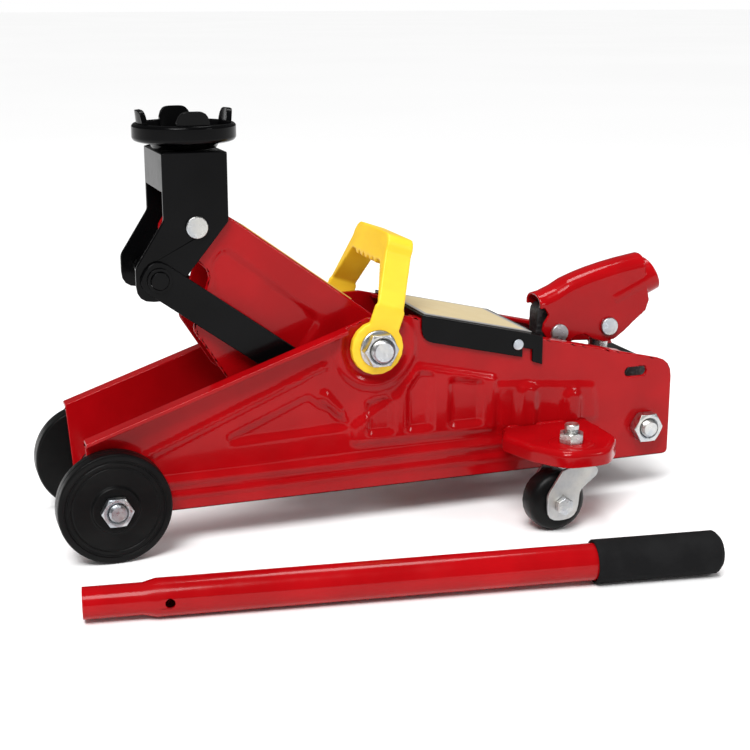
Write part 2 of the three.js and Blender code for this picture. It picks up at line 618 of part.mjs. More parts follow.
// ---------------------------------------------------------------- hydraulic unit
function hydraulics() {
  const capLength = 10;
  const tubeFront = CYLINDER_FRONT + capLength;
  const shell = ring(0, RAM_Z, RESERVOIR_RADIUS, RESERVOIR_RADIUS - RESERVOIR_WALL);
  const fillX = tubeFront + 22;
  const filler = new THREE.CylinderGeometry(5 + GAP, 5 + GAP, 12, 20)
    .rotateX(Math.PI / 2)
    .translate(fillX, 0, RAM_Z + RESERVOIR_RADIUS);
  piece(
    'reservoir',
    cut(alongX(shell, tubeFront + GAP, BLOCK_FRONT - GAP), filler),
    BLACK,
  );
  piece(
    'ram_cylinder',
    alongX(ring(0, RAM_Z, CYLINDER_RADIUS, BORE_RADIUS), tubeFront + GAP, BLOCK_FRONT - GAP),
    STEEL,
  );
  piece('cylinder_cap', joined(
    alongX(ring(0, RAM_Z, RESERVOIR_RADIUS, RAM_RADIUS + GAP), CYLINDER_FRONT, tubeFront),
    alongX(ring(0, RAM_Z, BORE_RADIUS - GAP, RAM_RADIUS + GAP), CYLINDER_FRONT, tubeFront + 5),
  ), CAST);
  const plug = joined(
    new THREE.CylinderGeometry(5, 5, 4, 20).translate(0, -1.5, 0),
    new THREE.CylinderGeometry(8, 8, 3, 20).translate(0, 2, 0),
  );
  plug.rotateX(Math.PI / 2).translate(fillX, 0, RAM_Z + RESERVOIR_RADIUS);
  piece('filler_plug', plug, RUBBER);

  const headHalf = 13;
  const headWide = 11;
  const slotRise = RAM_LEVER * (1 - Math.cos(RAM_SWING)) / 2;
  const pinRoom = RAM_PIN_RADIUS + 3 * GAP;
  const slot = outline([
    [RAM_PIN_X - pinRoom, RAM_Z - slotRise - pinRoom, pinRoom],
    [RAM_PIN_X + pinRoom, RAM_Z - slotRise - pinRoom, pinRoom],
    [RAM_PIN_X + pinRoom, RAM_Z + slotRise + pinRoom, pinRoom],
    [RAM_PIN_X - pinRoom, RAM_Z + slotRise + pinRoom, pinRoom],
  ]);
  piece('ram_head', cut(
    block(
      [RAM_PIN_X - headHalf, -headWide, RAM_Z - slotRise - headHalf - 2],
      [RAM_PIN_X + headHalf, headWide, RAM_Z + slotRise + headHalf + 2],
    ),
    acrossY(slot, -headWide - 1, headWide + 1),
  ), STEEL);
  const rodFront = RAM_PIN_X + headHalf + GAP;
  const piston = tubeFront + 6;
  piece('ram', joined(
    alongX(ring(0, RAM_Z, RAM_RADIUS), rodFront, piston + 8),
    alongX(ring(0, RAM_Z, BORE_RADIUS - GAP), piston, piston + 16),
  ), ZINC);

  const bottom = FLOOR_CLEARANCE + 10;
  const lugTop = PIVOT_HEIGHT + 22;
  const lug = drilled(
    outline([
      [BLOCK_FRONT, BLOCK_TOP - 6, 0],
      [BLOCK_FRONT + 30, BLOCK_TOP - 6, 4],
      [BLOCK_FRONT + 26, PIVOT_HEIGHT + 4, 8],
      [BLOCK_FRONT + 16, lugTop, 12],
      [BLOCK_FRONT, lugTop, 12],
    ]),
    [PIVOT_X, PIVOT_HEIGHT, PUMP_PIN_RADIUS + GAP],
  );
  const plungerBore = new THREE.CylinderGeometry(
    PLUNGER_RADIUS + GAP, PLUNGER_RADIUS + GAP, BLOCK_TOP, 24,
  ).rotateX(Math.PI / 2).translate(PUSH_X - 1, 0, BLOCK_TOP / 2 + TIE_Z + 2 * TIE_RADIUS);
  const valveZ = RAM_Z - 2;
  const valveBore = alongX(ring(0, valveZ, 5 + GAP), BLOCK_REAR - 14, BLOCK_REAR + 1);
  piece('pump_block', cut(
    joined(
      block([BLOCK_FRONT, -BLOCK_HALF_WIDTH, bottom], [BLOCK_REAR, BLOCK_HALF_WIDTH, BLOCK_TOP]),
      acrossY(lug, -LUG_HALF_WIDTH, LUG_HALF_WIDTH),
    ),
    rodY(TIE_RADIUS + GAP, TIE_X, TIE_Z, -BLOCK_HALF_WIDTH - 1, BLOCK_HALF_WIDTH + 1),
    plungerBore,
    valveBore,
  ), CAST);

  const plungerTop = PUSH_Z - PUMP_PIN_RADIUS - 3 * GAP;
  const plunger = new THREE.CylinderGeometry(PLUNGER_RADIUS, PLUNGER_RADIUS, 44, 24)
    .rotateX(Math.PI / 2)
    .translate(PUSH_X - 1, 0, plungerTop - 22);
  piece('pump_plunger', plunger, ZINC);

  const valve = cut(
    joined(
      alongX(ring(0, valveZ, 5), BLOCK_REAR - 13, BLOCK_REAR + 4),
      alongX(ring(0, valveZ, 8), BLOCK_REAR + GAP, BLOCK_REAR + 8),
    ),
    block([BLOCK_REAR + 5, -1.6, valveZ - 9], [BLOCK_REAR + 9, 1.6, valveZ + 9]),
  );
  piece('release_valve', valve, STEEL);
}

// ---------------------------------------------------------------- handle socket
function handleSocket() {
  const half = SOCKET_HALF_WIDTH;
  const wall = SOCKET_WALL;
  const at = (x, z, radius) => [PIVOT_X + x, PIVOT_HEIGHT + z, radius];
  const cheek = [
    at(-17, 29, 4),
    at(-1, 29.3, 6),
    at(20, 41.5, 10),
    at(56, 51, 6),
    at(74, 38, 4),
    at(80, 17, 5),
    at(61, -3, 10),
    at(PUMP_REACH + 1, -10, 8),
    at(PUMP_REACH - 14, -2, 12),
    at(10, -8, 8),
    at(-10, -10, 10),
    at(-14, 8, 6),
  ];
  const room = [
    at(-30, 29 - wall, 0),
    at(-1, 29.3 - wall, 6),
    at(20, 41.5 - wall, 8),
    at(50, 48 - wall, 4),
    at(64, 18, 4),
    at(64, -40, 0),
    at(-30, -40, 0),
  ];
  const pinRoom = PUMP_PIN_RADIUS + GAP;
  const pins = [[PIVOT_X, PIVOT_HEIGHT, pinRoom], [PUSH_X, PUSH_Z, pinRoom]];
  const place = (geometry) => geometry
    .rotateY(-SOCKET_TILT)
    .translate(PIVOT_X + MOUTH_BEHIND_PIVOT, 0, PIVOT_HEIGHT + MOUTH_ABOVE_PIVOT);
  const tube = place(alongX(ring(0, 0, SOCKET_RADIUS), -SOCKET_TUBE, 0, 12));
  const bore = place(alongX(ring(0, 0, SOCKET_RADIUS - SOCKET_WALL), 2 - SOCKET_TUBE, 4, 12));
  piece('handle_socket', cut(
    joined(cut(
      acrossY(drilled(outline(cheek), ...pins), -half, half),
      acrossY(outline(room), -half + SOCKET_WALL, half - SOCKET_WALL),
    ), tube),
    bore,
    rodY(PUMP_PIN_RADIUS + 2, PUSH_X, PUSH_Z, -half + SOCKET_WALL, half - SOCKET_WALL),
  ), RED);

  const head = half + 3;
  const headRadius = PUMP_PIN_RADIUS + 1;
  for (const [name, x, z] of [['socket_pivot_pin', PIVOT_X, PIVOT_HEIGHT], ['push_pin', PUSH_X, PUSH_Z]]) {
    piece(name, joined(
      rodY(PUMP_PIN_RADIUS, x, z, -head + 1, head),
      rodY(headRadius, x, z, -head, -half - GAP),
    ), ZINC);
  }
}

// ---------------------------------------------------------------- casters
/** The ear's outline in plan, drawn in from its edge by `inset`. */
function earOutline(sign, swivelX, swivelY, inset) {
  const root = sign * (FRAME_HALF_WIDTH + GAP + inset);
  const shoulder = sign * (FRAME_HALF_WIDTH + CASTER_OUT * 0.37);
  const tip = swivelY + sign * (EAR_TIP - inset);
  const front = (share) => swivelX - EAR_HALF_LENGTH * share + inset;
  const rear = (share) => swivelX + EAR_HALF_LENGTH * share - inset;
  return outline([
    [front(0.74), root, 0],
    [front(1), shoulder, 14],
    [front(0.76), swivelY - sign * 2, 18],
    [front(0.36), tip, 18],
    [rear(0.5), tip, 18],
    [rear(1.02), swivelY - sign * 5, 22],
    [rear(1.02), root, 0],
  ]);
}

function caster(side, sign) {
  const x = REAR_X - CASTER_FROM_REAR;
  const y = sign * (FRAME_HALF_WIDTH + CASTER_OUT);
  const skirtBottom = EAR_TOP - EAR_SKIRT;
  const plate = drilled(earOutline(sign, x, y, 0), [x, y, STUD_RADIUS + GAP]);
  piece(`caster_ear_${side}`, cut(
    upZ(plate, skirtBottom, EAR_TOP),
    upZ(earOutline(sign, x, y, EAR_WALL), skirtBottom - 1, EAR_TOP - EAR_WALL),
  ), RED);

  const turn = sign < 0 ? CASTER_TURN : -CASTER_TURN;
  const place = (geometry) => geometry.rotateZ(turn).translate(x, y, 0);
  const forkTop = EAR_TOP - EAR_WALL - GAP;
  const crown = drilled(ring(0, 0, FORK_HALF_WIDTH + 2.4), [0, 0, STUD_RADIUS + GAP]);
  const cheek = drilled(
    outline([
      [-8, forkTop, 0],
      [8, forkTop, 0],
      [8, skirtBottom - 1, 1],
      [13, skirtBottom - 2.5, 4],
      [CASTER_TRAIL + FORK_EYE, CASTER_RADIUS + 8, 8],
      [CASTER_TRAIL + FORK_EYE, CASTER_RADIUS - FORK_EYE, FORK_EYE],
      [CASTER_TRAIL - FORK_EYE, CASTER_RADIUS - FORK_EYE, FORK_EYE],
      [CASTER_TRAIL - FORK_EYE - 2, CASTER_RADIUS + 9, 8],
      [-14, skirtBottom - 8, 5],
      [-14, skirtBottom - 2.5, 4],
      [-8, skirtBottom - 1, 1],
    ]),
    [CASTER_TRAIL, CASTER_RADIUS, CASTER_AXLE_RADIUS + GAP],
  );
  const inner = FORK_HALF_WIDTH - FORK_WALL;
  piece(`caster_fork_${side}`, place(joined(
    upZ(crown, forkTop - FORK_WALL, forkTop),
    acrossY(cheek, -FORK_HALF_WIDTH, -inner),
    acrossY(cheek, inner, FORK_HALF_WIDTH),
  )), ZINC);

  const studTop = EAR_TOP + 14;
  const headTop = forkTop - FORK_WALL - GAP;
  const stud = joined(
    upZ(ring(0, 0, STUD_RADIUS), headTop - 2, studTop),
    upZ(ring(0, 0, STUD_RADIUS + 4), headTop - 4, headTop),
  );
  piece(`caster_stud_${side}`, stud.translate(x, y, 0), ZINC);
  piece(
    `caster_nut_${side}`,
    upZ(hexagon(x, y, 16, STUD_RADIUS + GAP), EAR_TOP + GAP, EAR_TOP + 8),
    ZINC,
  );

  const half = CASTER_WIDTH / 2;
  const bore = CASTER_AXLE_RADIUS + GAP;
  const tyre = turned([
    [bore, -half],
    [CASTER_RADIUS - 7, -half],
    [CASTER_RADIUS - 2, -half + 2.5],
    [CASTER_RADIUS, -half + 6],
    [CASTER_RADIUS, half - 6],
    [CASTER_RADIUS - 2, half - 2.5],
    [CASTER_RADIUS - 7, half],
    [bore, half],
    [bore, -half],
  ], 24);
  piece(
    `caster_wheel_${side}`,
    place(tyre.translate(CASTER_TRAIL, 0, CASTER_RADIUS)),
    RUBBER,
  );
  const bolt = joined(
    rodY(CASTER_AXLE_RADIUS, CASTER_TRAIL, CASTER_RADIUS, -FORK_HALF_WIDTH - 2, FORK_HALF_WIDTH + 2),
    rodY(6.5, CASTER_TRAIL, CASTER_RADIUS, FORK_HALF_WIDTH + GAP, FORK_HALF_WIDTH + 5, 6),
    rodY(6.5, CASTER_TRAIL, CASTER_RADIUS, -FORK_HALF_WIDTH - 5, -FORK_HALF_WIDTH - GAP, 6),
  );
  piece(`caster_axle_${side}`, place(bolt), ZINC);
}

// ---------------------------------------------------------------- cover, carry handle
function cover() {
  const front = SHAFT_X + COVER_BEHIND_SHAFT;
  const rear = front + COVER_LENGTH;
  const lift = GAP + COVER_WALL;
  const outer = FRAME_HALF_WIDTH + GAP + COVER_WALL;
  const top = strip(
    [front, tailTop(front) + lift],
    [rear, tailTop(rear) + lift],
    COVER_WALL,
  );
  const legLength = 8;
  const rivetX = rear - 20;
  const rivetZ = tailTop(rivetX) - 7;
  const skirt = drilled(
    outline([
      [front, tailTop(front) + lift, 0],
      [rear, tailTop(rear) + lift, 0],
      [rear, tailTop(rear) - COVER_SKIRT - 1, 0],
      [rear - legLength, tailTop(rear - legLength) - COVER_SKIRT, 0],
      [rear - legLength, tailTop(rear - legLength) - COVER_SKIRT + 9, 0],
      [rear - 2 * legLength, tailTop(rear - 2 * legLength) - COVER_SKIRT + 9, 0],
      [rear - 2 * legLength, tailTop(rear - 2 * legLength) - COVER_SKIRT + 2, 0],
      [front, tailTop(front) - COVER_SKIRT + 2, 14],
    ]),
    [rivetX, rivetZ, 3.4],
  );
  piece('cover_plate', joined(
    acrossY(top, -outer, outer),
    acrossY(skirt, -outer, -outer + COVER_WALL),
    acrossY(skirt, outer - COVER_WALL, outer),
  ), BLACK);
  const film = strip(
    [front + 4, tailTop(front + 4) + lift + GAP + 0.6],
    [rear - 6, tailTop(rear - 6) + lift + GAP + 0.6],
    0.6,
  );
  piece('cover_label', acrossY(film, -outer + 7, outer - 7), LABEL);
  for (const [side, sign] of SIDES) {
    piece(`cover_rivet_${side}`, joined(
      rodY(3.1, rivetX, rivetZ, sign * (FRAME_HALF_WIDTH + GAP), sign * (outer + 1)),
      rodY(4, rivetX, rivetZ, sign * (outer + GAP), sign * (outer + 1.6)),
    ), ZINC);
  }
}

function carryHandle() {
  const inner = FRAME_HALF_WIDTH + GAP;
  const outer = inner + EYE_WALL;
  const legInner = inner + COVER_WALL + 2 * GAP;
  const foot = EYE_RADIUS - 5;
  const half = CARRY_HALF_WIDTH;
  const inside = half - EYE_WALL;
  const barBottom = CARRY_REACH - CARRY_BAR_DEPTH;
  const hoop = outline([
    [outer, foot, 0],
    [outer, CARRY_NECK, 4],
    [half, CARRY_SHOULDER, 4],
    [half, CARRY_REACH, 9],
    [-half, CARRY_REACH, 9],
    [-half, CARRY_SHOULDER, 4],
    [-outer, CARRY_NECK, 4],
    [-outer, foot, 0],
    [-legInner, foot, 0],
    [-legInner, CARRY_NECK, 2],
    [-inside, barBottom, 4],
    [inside, barBottom, 4],
    [legInner, CARRY_NECK, 2],
    [legInner, foot, 0],
  ]);
  const bail = alongX(hoop, -LEG_WIDTH / 2, LEG_WIDTH / 2)
    .rotateY(CARRY_TILT)
    .translate(SHAFT_X, 0, SHAFT_Z);
  const parts = [bail];
  for (const [, sign] of SIDES) {
    const eye = ring(SHAFT_X, SHAFT_Z, EYE_RADIUS, SHAFT_RADIUS + GAP);
    parts.push(acrossY(eye, sign * inner, sign * outer, 12));
  }
  piece('carry_handle', joined(...parts), YELLOW);
}

// ---------------------------------------------------------------- loose pump handle
function pumpHandle() {
  const gripFrom = HANDLE_LENGTH - GRIP_LENGTH;
  const taperEnd = SWAGE_LENGTH + 8;
  const wall = HANDLE_WALL;
  const tube = turned([
    [SWAGE_RADIUS - wall, 0],
    [SWAGE_RADIUS, 0],
    [SWAGE_RADIUS, SWAGE_LENGTH],
    [HANDLE_RADIUS, taperEnd],
    [HANDLE_RADIUS, HANDLE_LENGTH - 4],
    [HANDLE_RADIUS - wall, HANDLE_LENGTH - 4],
    [HANDLE_RADIUS - wall, taperEnd],
    [SWAGE_RADIUS - wall, SWAGE_LENGTH],
    [SWAGE_RADIUS - wall, 0],
  ], 24);
  const hole = new THREE.CylinderGeometry(3, 3, 3 * HANDLE_RADIUS, 16)
    .rotateZ(Math.PI / 2)
    .translate(0, taperEnd + 8, 0);
  const bore = HANDLE_RADIUS + GAP;
  const grip = turned([
    [bore, gripFrom],
    [GRIP_RADIUS, gripFrom],
    [GRIP_RADIUS, HANDLE_LENGTH - 4],
    [GRIP_RADIUS - 4, HANDLE_LENGTH],
    [0, HANDLE_LENGTH],
    [0, HANDLE_LENGTH - 4 + GAP],
    [bore, HANDLE_LENGTH - 4 + GAP],
    [bore, gripFrom],
  ], 24);
  const tilt = Math.asin((GRIP_RADIUS - HANDLE_RADIUS) / (gripFrom - taperEnd));
  const rest = HANDLE_RADIUS / Math.cos(tilt) - taperEnd * Math.tan(tilt);
  for (const [name, geometry, finish] of [
    ['handle_tube', cut(tube, hole), RED],
    ['handle_grip', grip, FOAM],
  ]) {
    geometry.rotateZ(-Math.PI / 2).rotateY(-tilt).rotateZ(HANDLE_YAW);
    piece(name, geometry.translate(HANDLE_START.x, HANDLE_START.y, rest), finish);
  }
}

// ---------------------------------------------------------------- assembly
for (const [side, sign] of SIDES) {
  sidePlate(side, sign);
  frontWheel(side, sign);
  link(side, sign);
  caster(side, sign);
}
frameFasteners();
liftArm();
saddleBracket();
hydraulics();
handleSocket();
cover();
carryHandle();
pumpHandle();

const box = new THREE.Box3().setFromObject(jack, true);
const middle = box.getCenter(new THREE.Vector3());
jack.position.set(-middle.x, -middle.y, -box.min.z);

export default jack;
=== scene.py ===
"""The looks of a hydraulic floor jack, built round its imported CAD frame."""

import json
import logging
import math
from contextlib import contextmanager
from dataclasses import dataclass
from enum import Enum
from typing import ClassVar, Iterable, Iterator, Sequence

import bpy
import numpy as np
from mathutils import Matrix, Vector


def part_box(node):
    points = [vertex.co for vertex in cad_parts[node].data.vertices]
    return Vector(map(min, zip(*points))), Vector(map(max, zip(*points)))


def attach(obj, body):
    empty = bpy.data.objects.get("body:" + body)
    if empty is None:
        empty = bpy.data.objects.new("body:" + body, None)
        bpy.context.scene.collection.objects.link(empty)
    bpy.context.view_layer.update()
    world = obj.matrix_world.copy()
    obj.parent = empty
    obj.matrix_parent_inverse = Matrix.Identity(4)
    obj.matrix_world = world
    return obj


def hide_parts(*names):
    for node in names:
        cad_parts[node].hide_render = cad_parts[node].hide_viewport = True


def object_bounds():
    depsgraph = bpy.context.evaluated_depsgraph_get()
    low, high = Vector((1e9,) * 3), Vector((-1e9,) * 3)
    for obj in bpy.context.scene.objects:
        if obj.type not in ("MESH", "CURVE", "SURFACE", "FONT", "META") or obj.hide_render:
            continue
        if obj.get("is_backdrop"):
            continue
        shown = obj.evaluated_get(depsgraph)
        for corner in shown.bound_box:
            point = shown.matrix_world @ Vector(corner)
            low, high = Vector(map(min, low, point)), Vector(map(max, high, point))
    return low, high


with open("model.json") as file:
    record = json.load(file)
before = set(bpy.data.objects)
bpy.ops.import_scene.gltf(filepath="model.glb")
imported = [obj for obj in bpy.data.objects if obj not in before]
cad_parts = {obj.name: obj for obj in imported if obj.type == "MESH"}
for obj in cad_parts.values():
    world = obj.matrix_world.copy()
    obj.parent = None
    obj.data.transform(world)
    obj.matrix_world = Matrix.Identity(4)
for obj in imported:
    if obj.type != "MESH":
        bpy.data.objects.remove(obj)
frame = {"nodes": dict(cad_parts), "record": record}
CAD_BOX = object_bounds()

MM = 0.001
Point = tuple[float, float]
LOG = logging.getLogger("floor_jack")


class Side(Enum):
    """The two sides of the jack, by the sign of their y."""

    LEFT = -1
    RIGHT = 1

    @property
    def label(self) -> str:
        """The side's name as the CAD nodes spell it."""
        return self.name.lower()


class Axis(Enum):
    """The way a turned piece's axis points."""

    Y = "Y"
    Z = "Z"


# ------------------------------------------------------------------ shader arithmetic
class Signal:
    """A value running through a material's nodes, written as plain arithmetic."""

    def __init__(self, sheet: "NodeSheet", socket: bpy.types.NodeSocket) -> None:
        """Wrap one output socket.

        Args:
            sheet: The node sheet that the socket is on.
            socket: The output socket.
        """
        self.sheet = sheet
        self.socket = socket

    def _math(self, operation: str, first: "Signal | float", second: "Signal | float" = 0.0) -> "Signal":
        """Add one Math node and return its value."""
        return self.sheet.node("ShaderNodeMath", {"operation": operation}, {0: first, 1: second})

    def __add__(self, other: "Signal | float") -> "Signal":
        """self + other."""
        return self._math("ADD", self, other)

    def __radd__(self, other: float) -> "Signal":
        """other + self."""
        return self._math("ADD", other, self)

    def __sub__(self, other: "Signal | float") -> "Signal":
        """self - other."""
        return self._math("SUBTRACT", self, other)

    def __rsub__(self, other: float) -> "Signal":
        """other - self."""
        return self._math("SUBTRACT", other, self)

    def __mul__(self, other: "Signal | float") -> "Signal":
        """self * other."""
        return self._math("MULTIPLY", self, other)

    def __rmul__(self, other: float) -> "Signal":
        """other * self."""
        return self._math("MULTIPLY", other, self)

    def __abs__(self) -> "Signal":
        """The size of the value, without its sign."""
        return self._math("ABSOLUTE", self)

    def above(self, level: float) -> "Signal":
        """1 where the value is over level, else 0."""
        return self._math("GREATER_THAN", self, level)

    def largest(self, other: "Signal") -> "Signal":
        """The larger of two values."""
        return self._math("MAXIMUM", self, other)

    def between(self, low: float, high: float) -> "Signal":
        """0 at low, 1 at high, smooth between and level outside."""
        settings = {"interpolation_type": "SMOOTHSTEP"}
        return self.sheet.node("ShaderNodeMapRange", settings, {0: self, 1: low, 2: high, 3: 0.0, 4: 1.0})


class NodeSheet:
    """The nodes of one material, round a single Principled shader."""

    def __init__(self, name: str) -> None:
        """Make the material with its shader and output.

        Args:
            name: The material's name.
        """
        self.material = bpy.data.materials.new(name)
        self.material.use_nodes = True
        self.tree = self.material.node_tree
        self.shader = self.tree.nodes["Principled BSDF"]

    def node(
        self,
        kind: str,
        settings: dict[str, object] | None = None,
        inputs: dict[int | str, object] | None = None,
        output: int | str = 0,
    ) -> Signal:
        """Add one node and hand back one of its outputs.

        Args:
            kind: The node's type.
            settings: Its own settings, set before its sockets; "stops" are a ramp's.
            inputs: Values or links for its sockets.
            output: Which output to hand back.

        Returns:
            The chosen output.
        """
        made = self.tree.nodes.new(kind)
        for key, value in (settings or {}).items():
            if key == "stops":
                for element, (place, color) in zip(made.color_ramp.elements, value):
                    element.position = place
                    element.color = (*color, 1.0)
            else:
                setattr(made, key, value)
        for key, value in (inputs or {}).items():
            self.feed(made.inputs[key], value)
        return Signal(self, made.outputs[output])

    def feed(self, socket: bpy.types.NodeSocket, value: object) -> None:
        """Link a signal to a socket, or set the socket's own value.

        Args:
            socket: The input socket.
            value: A signal to link, or a value to set.
        """
        if isinstance(value, Signal):
            self.tree.links.new(value.socket, socket)
        elif isinstance(value, tuple) and len(value) == 3 and socket.type == "RGBA":
            socket.default_value = (*value, 1.0)
        else:
            socket.default_value = value

    def place(self) -> Signal:
        """The point on the piece, in metres."""
        return self.node("ShaderNodeTexCoord", output="Object")

    def grain(
        self, scale: float, detail: float = 2.0, stretch: tuple[float, float, float] = (1.0, 1.0, 1.0),
    ) -> Signal:
        """Smooth noise over the piece.

        Args:
            scale: How many waves there are in a metre.
            detail: How many finer layers it has.
            stretch: How much finer it is along each axis.

        Returns:
            A value from 0 to 1.
        """
        spot = self.place()
        if stretch != (1.0, 1.0, 1.0):
            spot = self.node("ShaderNodeMapping", inputs={"Vector": spot, "Scale": stretch})
        return self.node("ShaderNodeTexNoise", inputs={"Vector": spot, "Scale": scale, "Detail": detail})

    def cells(self, scale: float) -> Signal:
        """The distance from the middle of the nearest cell."""
        return self.node("ShaderNodeTexVoronoi", inputs={"Vector": self.place(), "Scale": scale})

    def blend(self, share: "Signal | float", first: object, second: object) -> Signal:
        """A colour between two, by a share from 0 to 1."""
        settings = {"data_type": "RGBA"}
        return self.node("ShaderNodeMix", settings, {0: share, 6: first, 7: second}, output=2)

    def relief(self, height: Signal, depth: float, strength: float = 1.0) -> None:
        """Raise the surface by a height from 0 to 1, depth metres high."""
        inputs = {"Height": height, "Distance": depth, "Strength": strength}
        self.feed(self.shader.inputs["Normal"], self.node("ShaderNodeBump", None, inputs))

    def put(self, **values: object) -> None:
        """Set or link the shader's sockets, by name with _ for a space."""
        for key, value in values.items():
            self.feed(self.shader.inputs[key.replace("_", " ")], value)


# ------------------------------------------------------------------ finishes
@dataclass(frozen=True)
class Finish:
    """Something that a surface is made of or covered with."""

    made: ClassVar[dict[str, bpy.types.Material]] = {}
    name: str
    slot: str

    def dress(self, sheet: NodeSheet) -> None:
        """Lay the finish's nodes on a sheet."""
        raise NotImplementedError

    def material(self) -> bpy.types.Material:
        """The finish's material, made the first time that it is asked for.

        Returns:
            The material.
        """
        if self.name not in self.made:
            sheet = NodeSheet(self.name)
            self.dress(sheet)
            self.made[self.name] = sheet.material
        return self.made[self.name]

    def coat(self, *pieces: bpy.types.Object) -> None:
        """Give the finish to pieces, in place of what they had."""
        for piece in pieces:
            piece.data.materials.clear()
            piece.data.materials.append(self.material())


@dataclass(frozen=True)
class Enamel(Finish):
    """Sprayed gloss paint with a faint orange peel."""

    color: tuple[float, float, float]
    deep: tuple[float, float, float]
    roughness: float = 0.15
    peel: float = 0.0001
    gloss: float = 0.45
    shine: float = 0.3

    def dress(self, sheet: NodeSheet) -> None:
        """Mottled colour, dulled patches and orange peel.

        Args:
            sheet: The node sheet to lay it on.
        """
        thin = sheet.grain(26.0, 3.0).between(0.3, 0.75)
        haze = sheet.grain(60.0, 3.0).between(0.4, 0.8)
        sheet.put(
            Base_Color=sheet.blend(thin, self.deep, self.color),
            Roughness=self.roughness + haze * 0.1,
            Coat_Weight=self.gloss,
            Coat_Roughness=0.05,
            Specular_IOR_Level=self.shine,
        )
        sheet.relief(sheet.grain(210.0, 1.0), self.peel, 0.3)


@dataclass(frozen=True)
class Plating(Finish):
    """Zinc or bright steel, with a faint rainbow and fine scratches."""

    warm: tuple[float, float, float]
    cool: tuple[float, float, float]
    roughness: float = 0.27
    stretch: tuple[float, float, float] = (1.0, 1.0, 1.0)

    def dress(self, sheet: NodeSheet) -> None:
        """Two tints, dull patches and scratches.

        Args:
            sheet: The node sheet to lay it on.
        """
        tint = sheet.grain(60.0, 3.0).between(0.35, 0.7)
        dull = sheet.grain(420.0, 4.0).between(0.3, 0.75)
        scratch = sheet.grain(1100.0, 3.0, self.stretch)
        sheet.put(
            Base_Color=sheet.blend(tint, self.cool, self.warm),
            Metallic=1.0,
            Roughness=self.roughness + dull * 0.22,
        )
        sheet.relief(scratch, 0.0002, 0.6)


@dataclass(frozen=True)
class Casting(Finish):
    """Painted sand casting, rough to the touch."""

    color: tuple[float, float, float]

    def dress(self, sheet: NodeSheet) -> None:
        """Lumps, pits and dusty high spots.

        Args:
            sheet: The node sheet to lay it on.
        """
        lumps = sheet.grain(420.0, 5.0)
        dust = lumps.between(0.5, 0.75)
        sheet.put(
            Base_Color=sheet.blend(dust * 0.5, self.color, (0.09, 0.09, 0.09)),
            Roughness=0.38 + dust * 0.25,
        )
        sheet.relief(lumps, 0.0009, 0.8)


@dataclass(frozen=True)
class Moulding(Finish):
    """Moulded plastic or hard rubber with a fine spark grain."""

    color: tuple[float, float, float]
    worn: tuple[float, float, float]
    roughness: float = 0.42
    grain: float = 0.00014
    shine: float = 0.4

    def dress(self, sheet: NodeSheet) -> None:
        """Flow marks, a fine grain and slight shine changes.

        Args:
            sheet: The node sheet to lay it on.
        """
        flow = sheet.grain(38.0, 3.0, (1.0, 1.0, 2.2)).between(0.3, 0.75)
        fine = sheet.grain(1900.0, 2.0)
        sheet.put(
            Base_Color=sheet.blend(flow, self.worn, self.color),
            Roughness=self.roughness + flow * 0.1,
            Specular_IOR_Level=self.shine,
        )
        sheet.relief(fine, self.grain, 0.4)


@dataclass(frozen=True)
class Foam(Finish):
    """Soft closed-cell foam."""

    color: tuple[float, float, float]

    def dress(self, sheet: NodeSheet) -> None:
        """Small cells over slow dents.

        Args:
            sheet: The node sheet to lay it on.
        """
        cells = sheet.cells(900.0).between(0.0, 0.75)
        slow = sheet.grain(60.0, 3.0)
        sheet.put(
            Base_Color=sheet.blend(slow.between(0.35, 0.7) * 0.6, self.color, (0.012, 0.012, 0.0125)),
            Roughness=0.8 + slow * 0.12,
            Specular_IOR_Level=0.1,
        )
        sheet.relief(cells * 0.5 + slow, 0.0002, 0.4)


@dataclass(frozen=True)
class Film(Finish):
    """A plain printed label, with a darker border round its edge."""

    color: tuple[float, float, float]
    border: tuple[float, float, float]
    node: str
    edge: float

    def dress(self, sheet: NodeSheet) -> None:
        """A flat field with a border edge metres wide, and a slight crinkle.

        Args:
            sheet: The node sheet to lay it on.
        """
        low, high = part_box(self.node)
        middle, half = (low + high) / 2, (high - low) / 2
        spot = sheet.node("ShaderNodeSeparateXYZ", None, {0: sheet.place()})
        across = spot.socket.node.outputs
        x, y = Signal(sheet, spot.socket), Signal(sheet, across["Y"])
        ends = abs(x - middle.x).above(half.x - self.edge)
        rims = abs(y - middle.y).above(half.y - self.edge)
        faded = sheet.grain(40.0, 2.0).between(0.3, 0.8)
        field_color = sheet.blend(faded * 0.25, self.color, tuple(c * 0.82 for c in self.color))
        sheet.put(
            Base_Color=sheet.blend(ends.largest(rims), field_color, self.border),
            Roughness=0.34 + faded * 0.12,
            Coat_Weight=0.3,
            Coat_Roughness=0.15,
        )
        sheet.relief(sheet.grain(220.0, 2.0), 0.0002, 0.3)


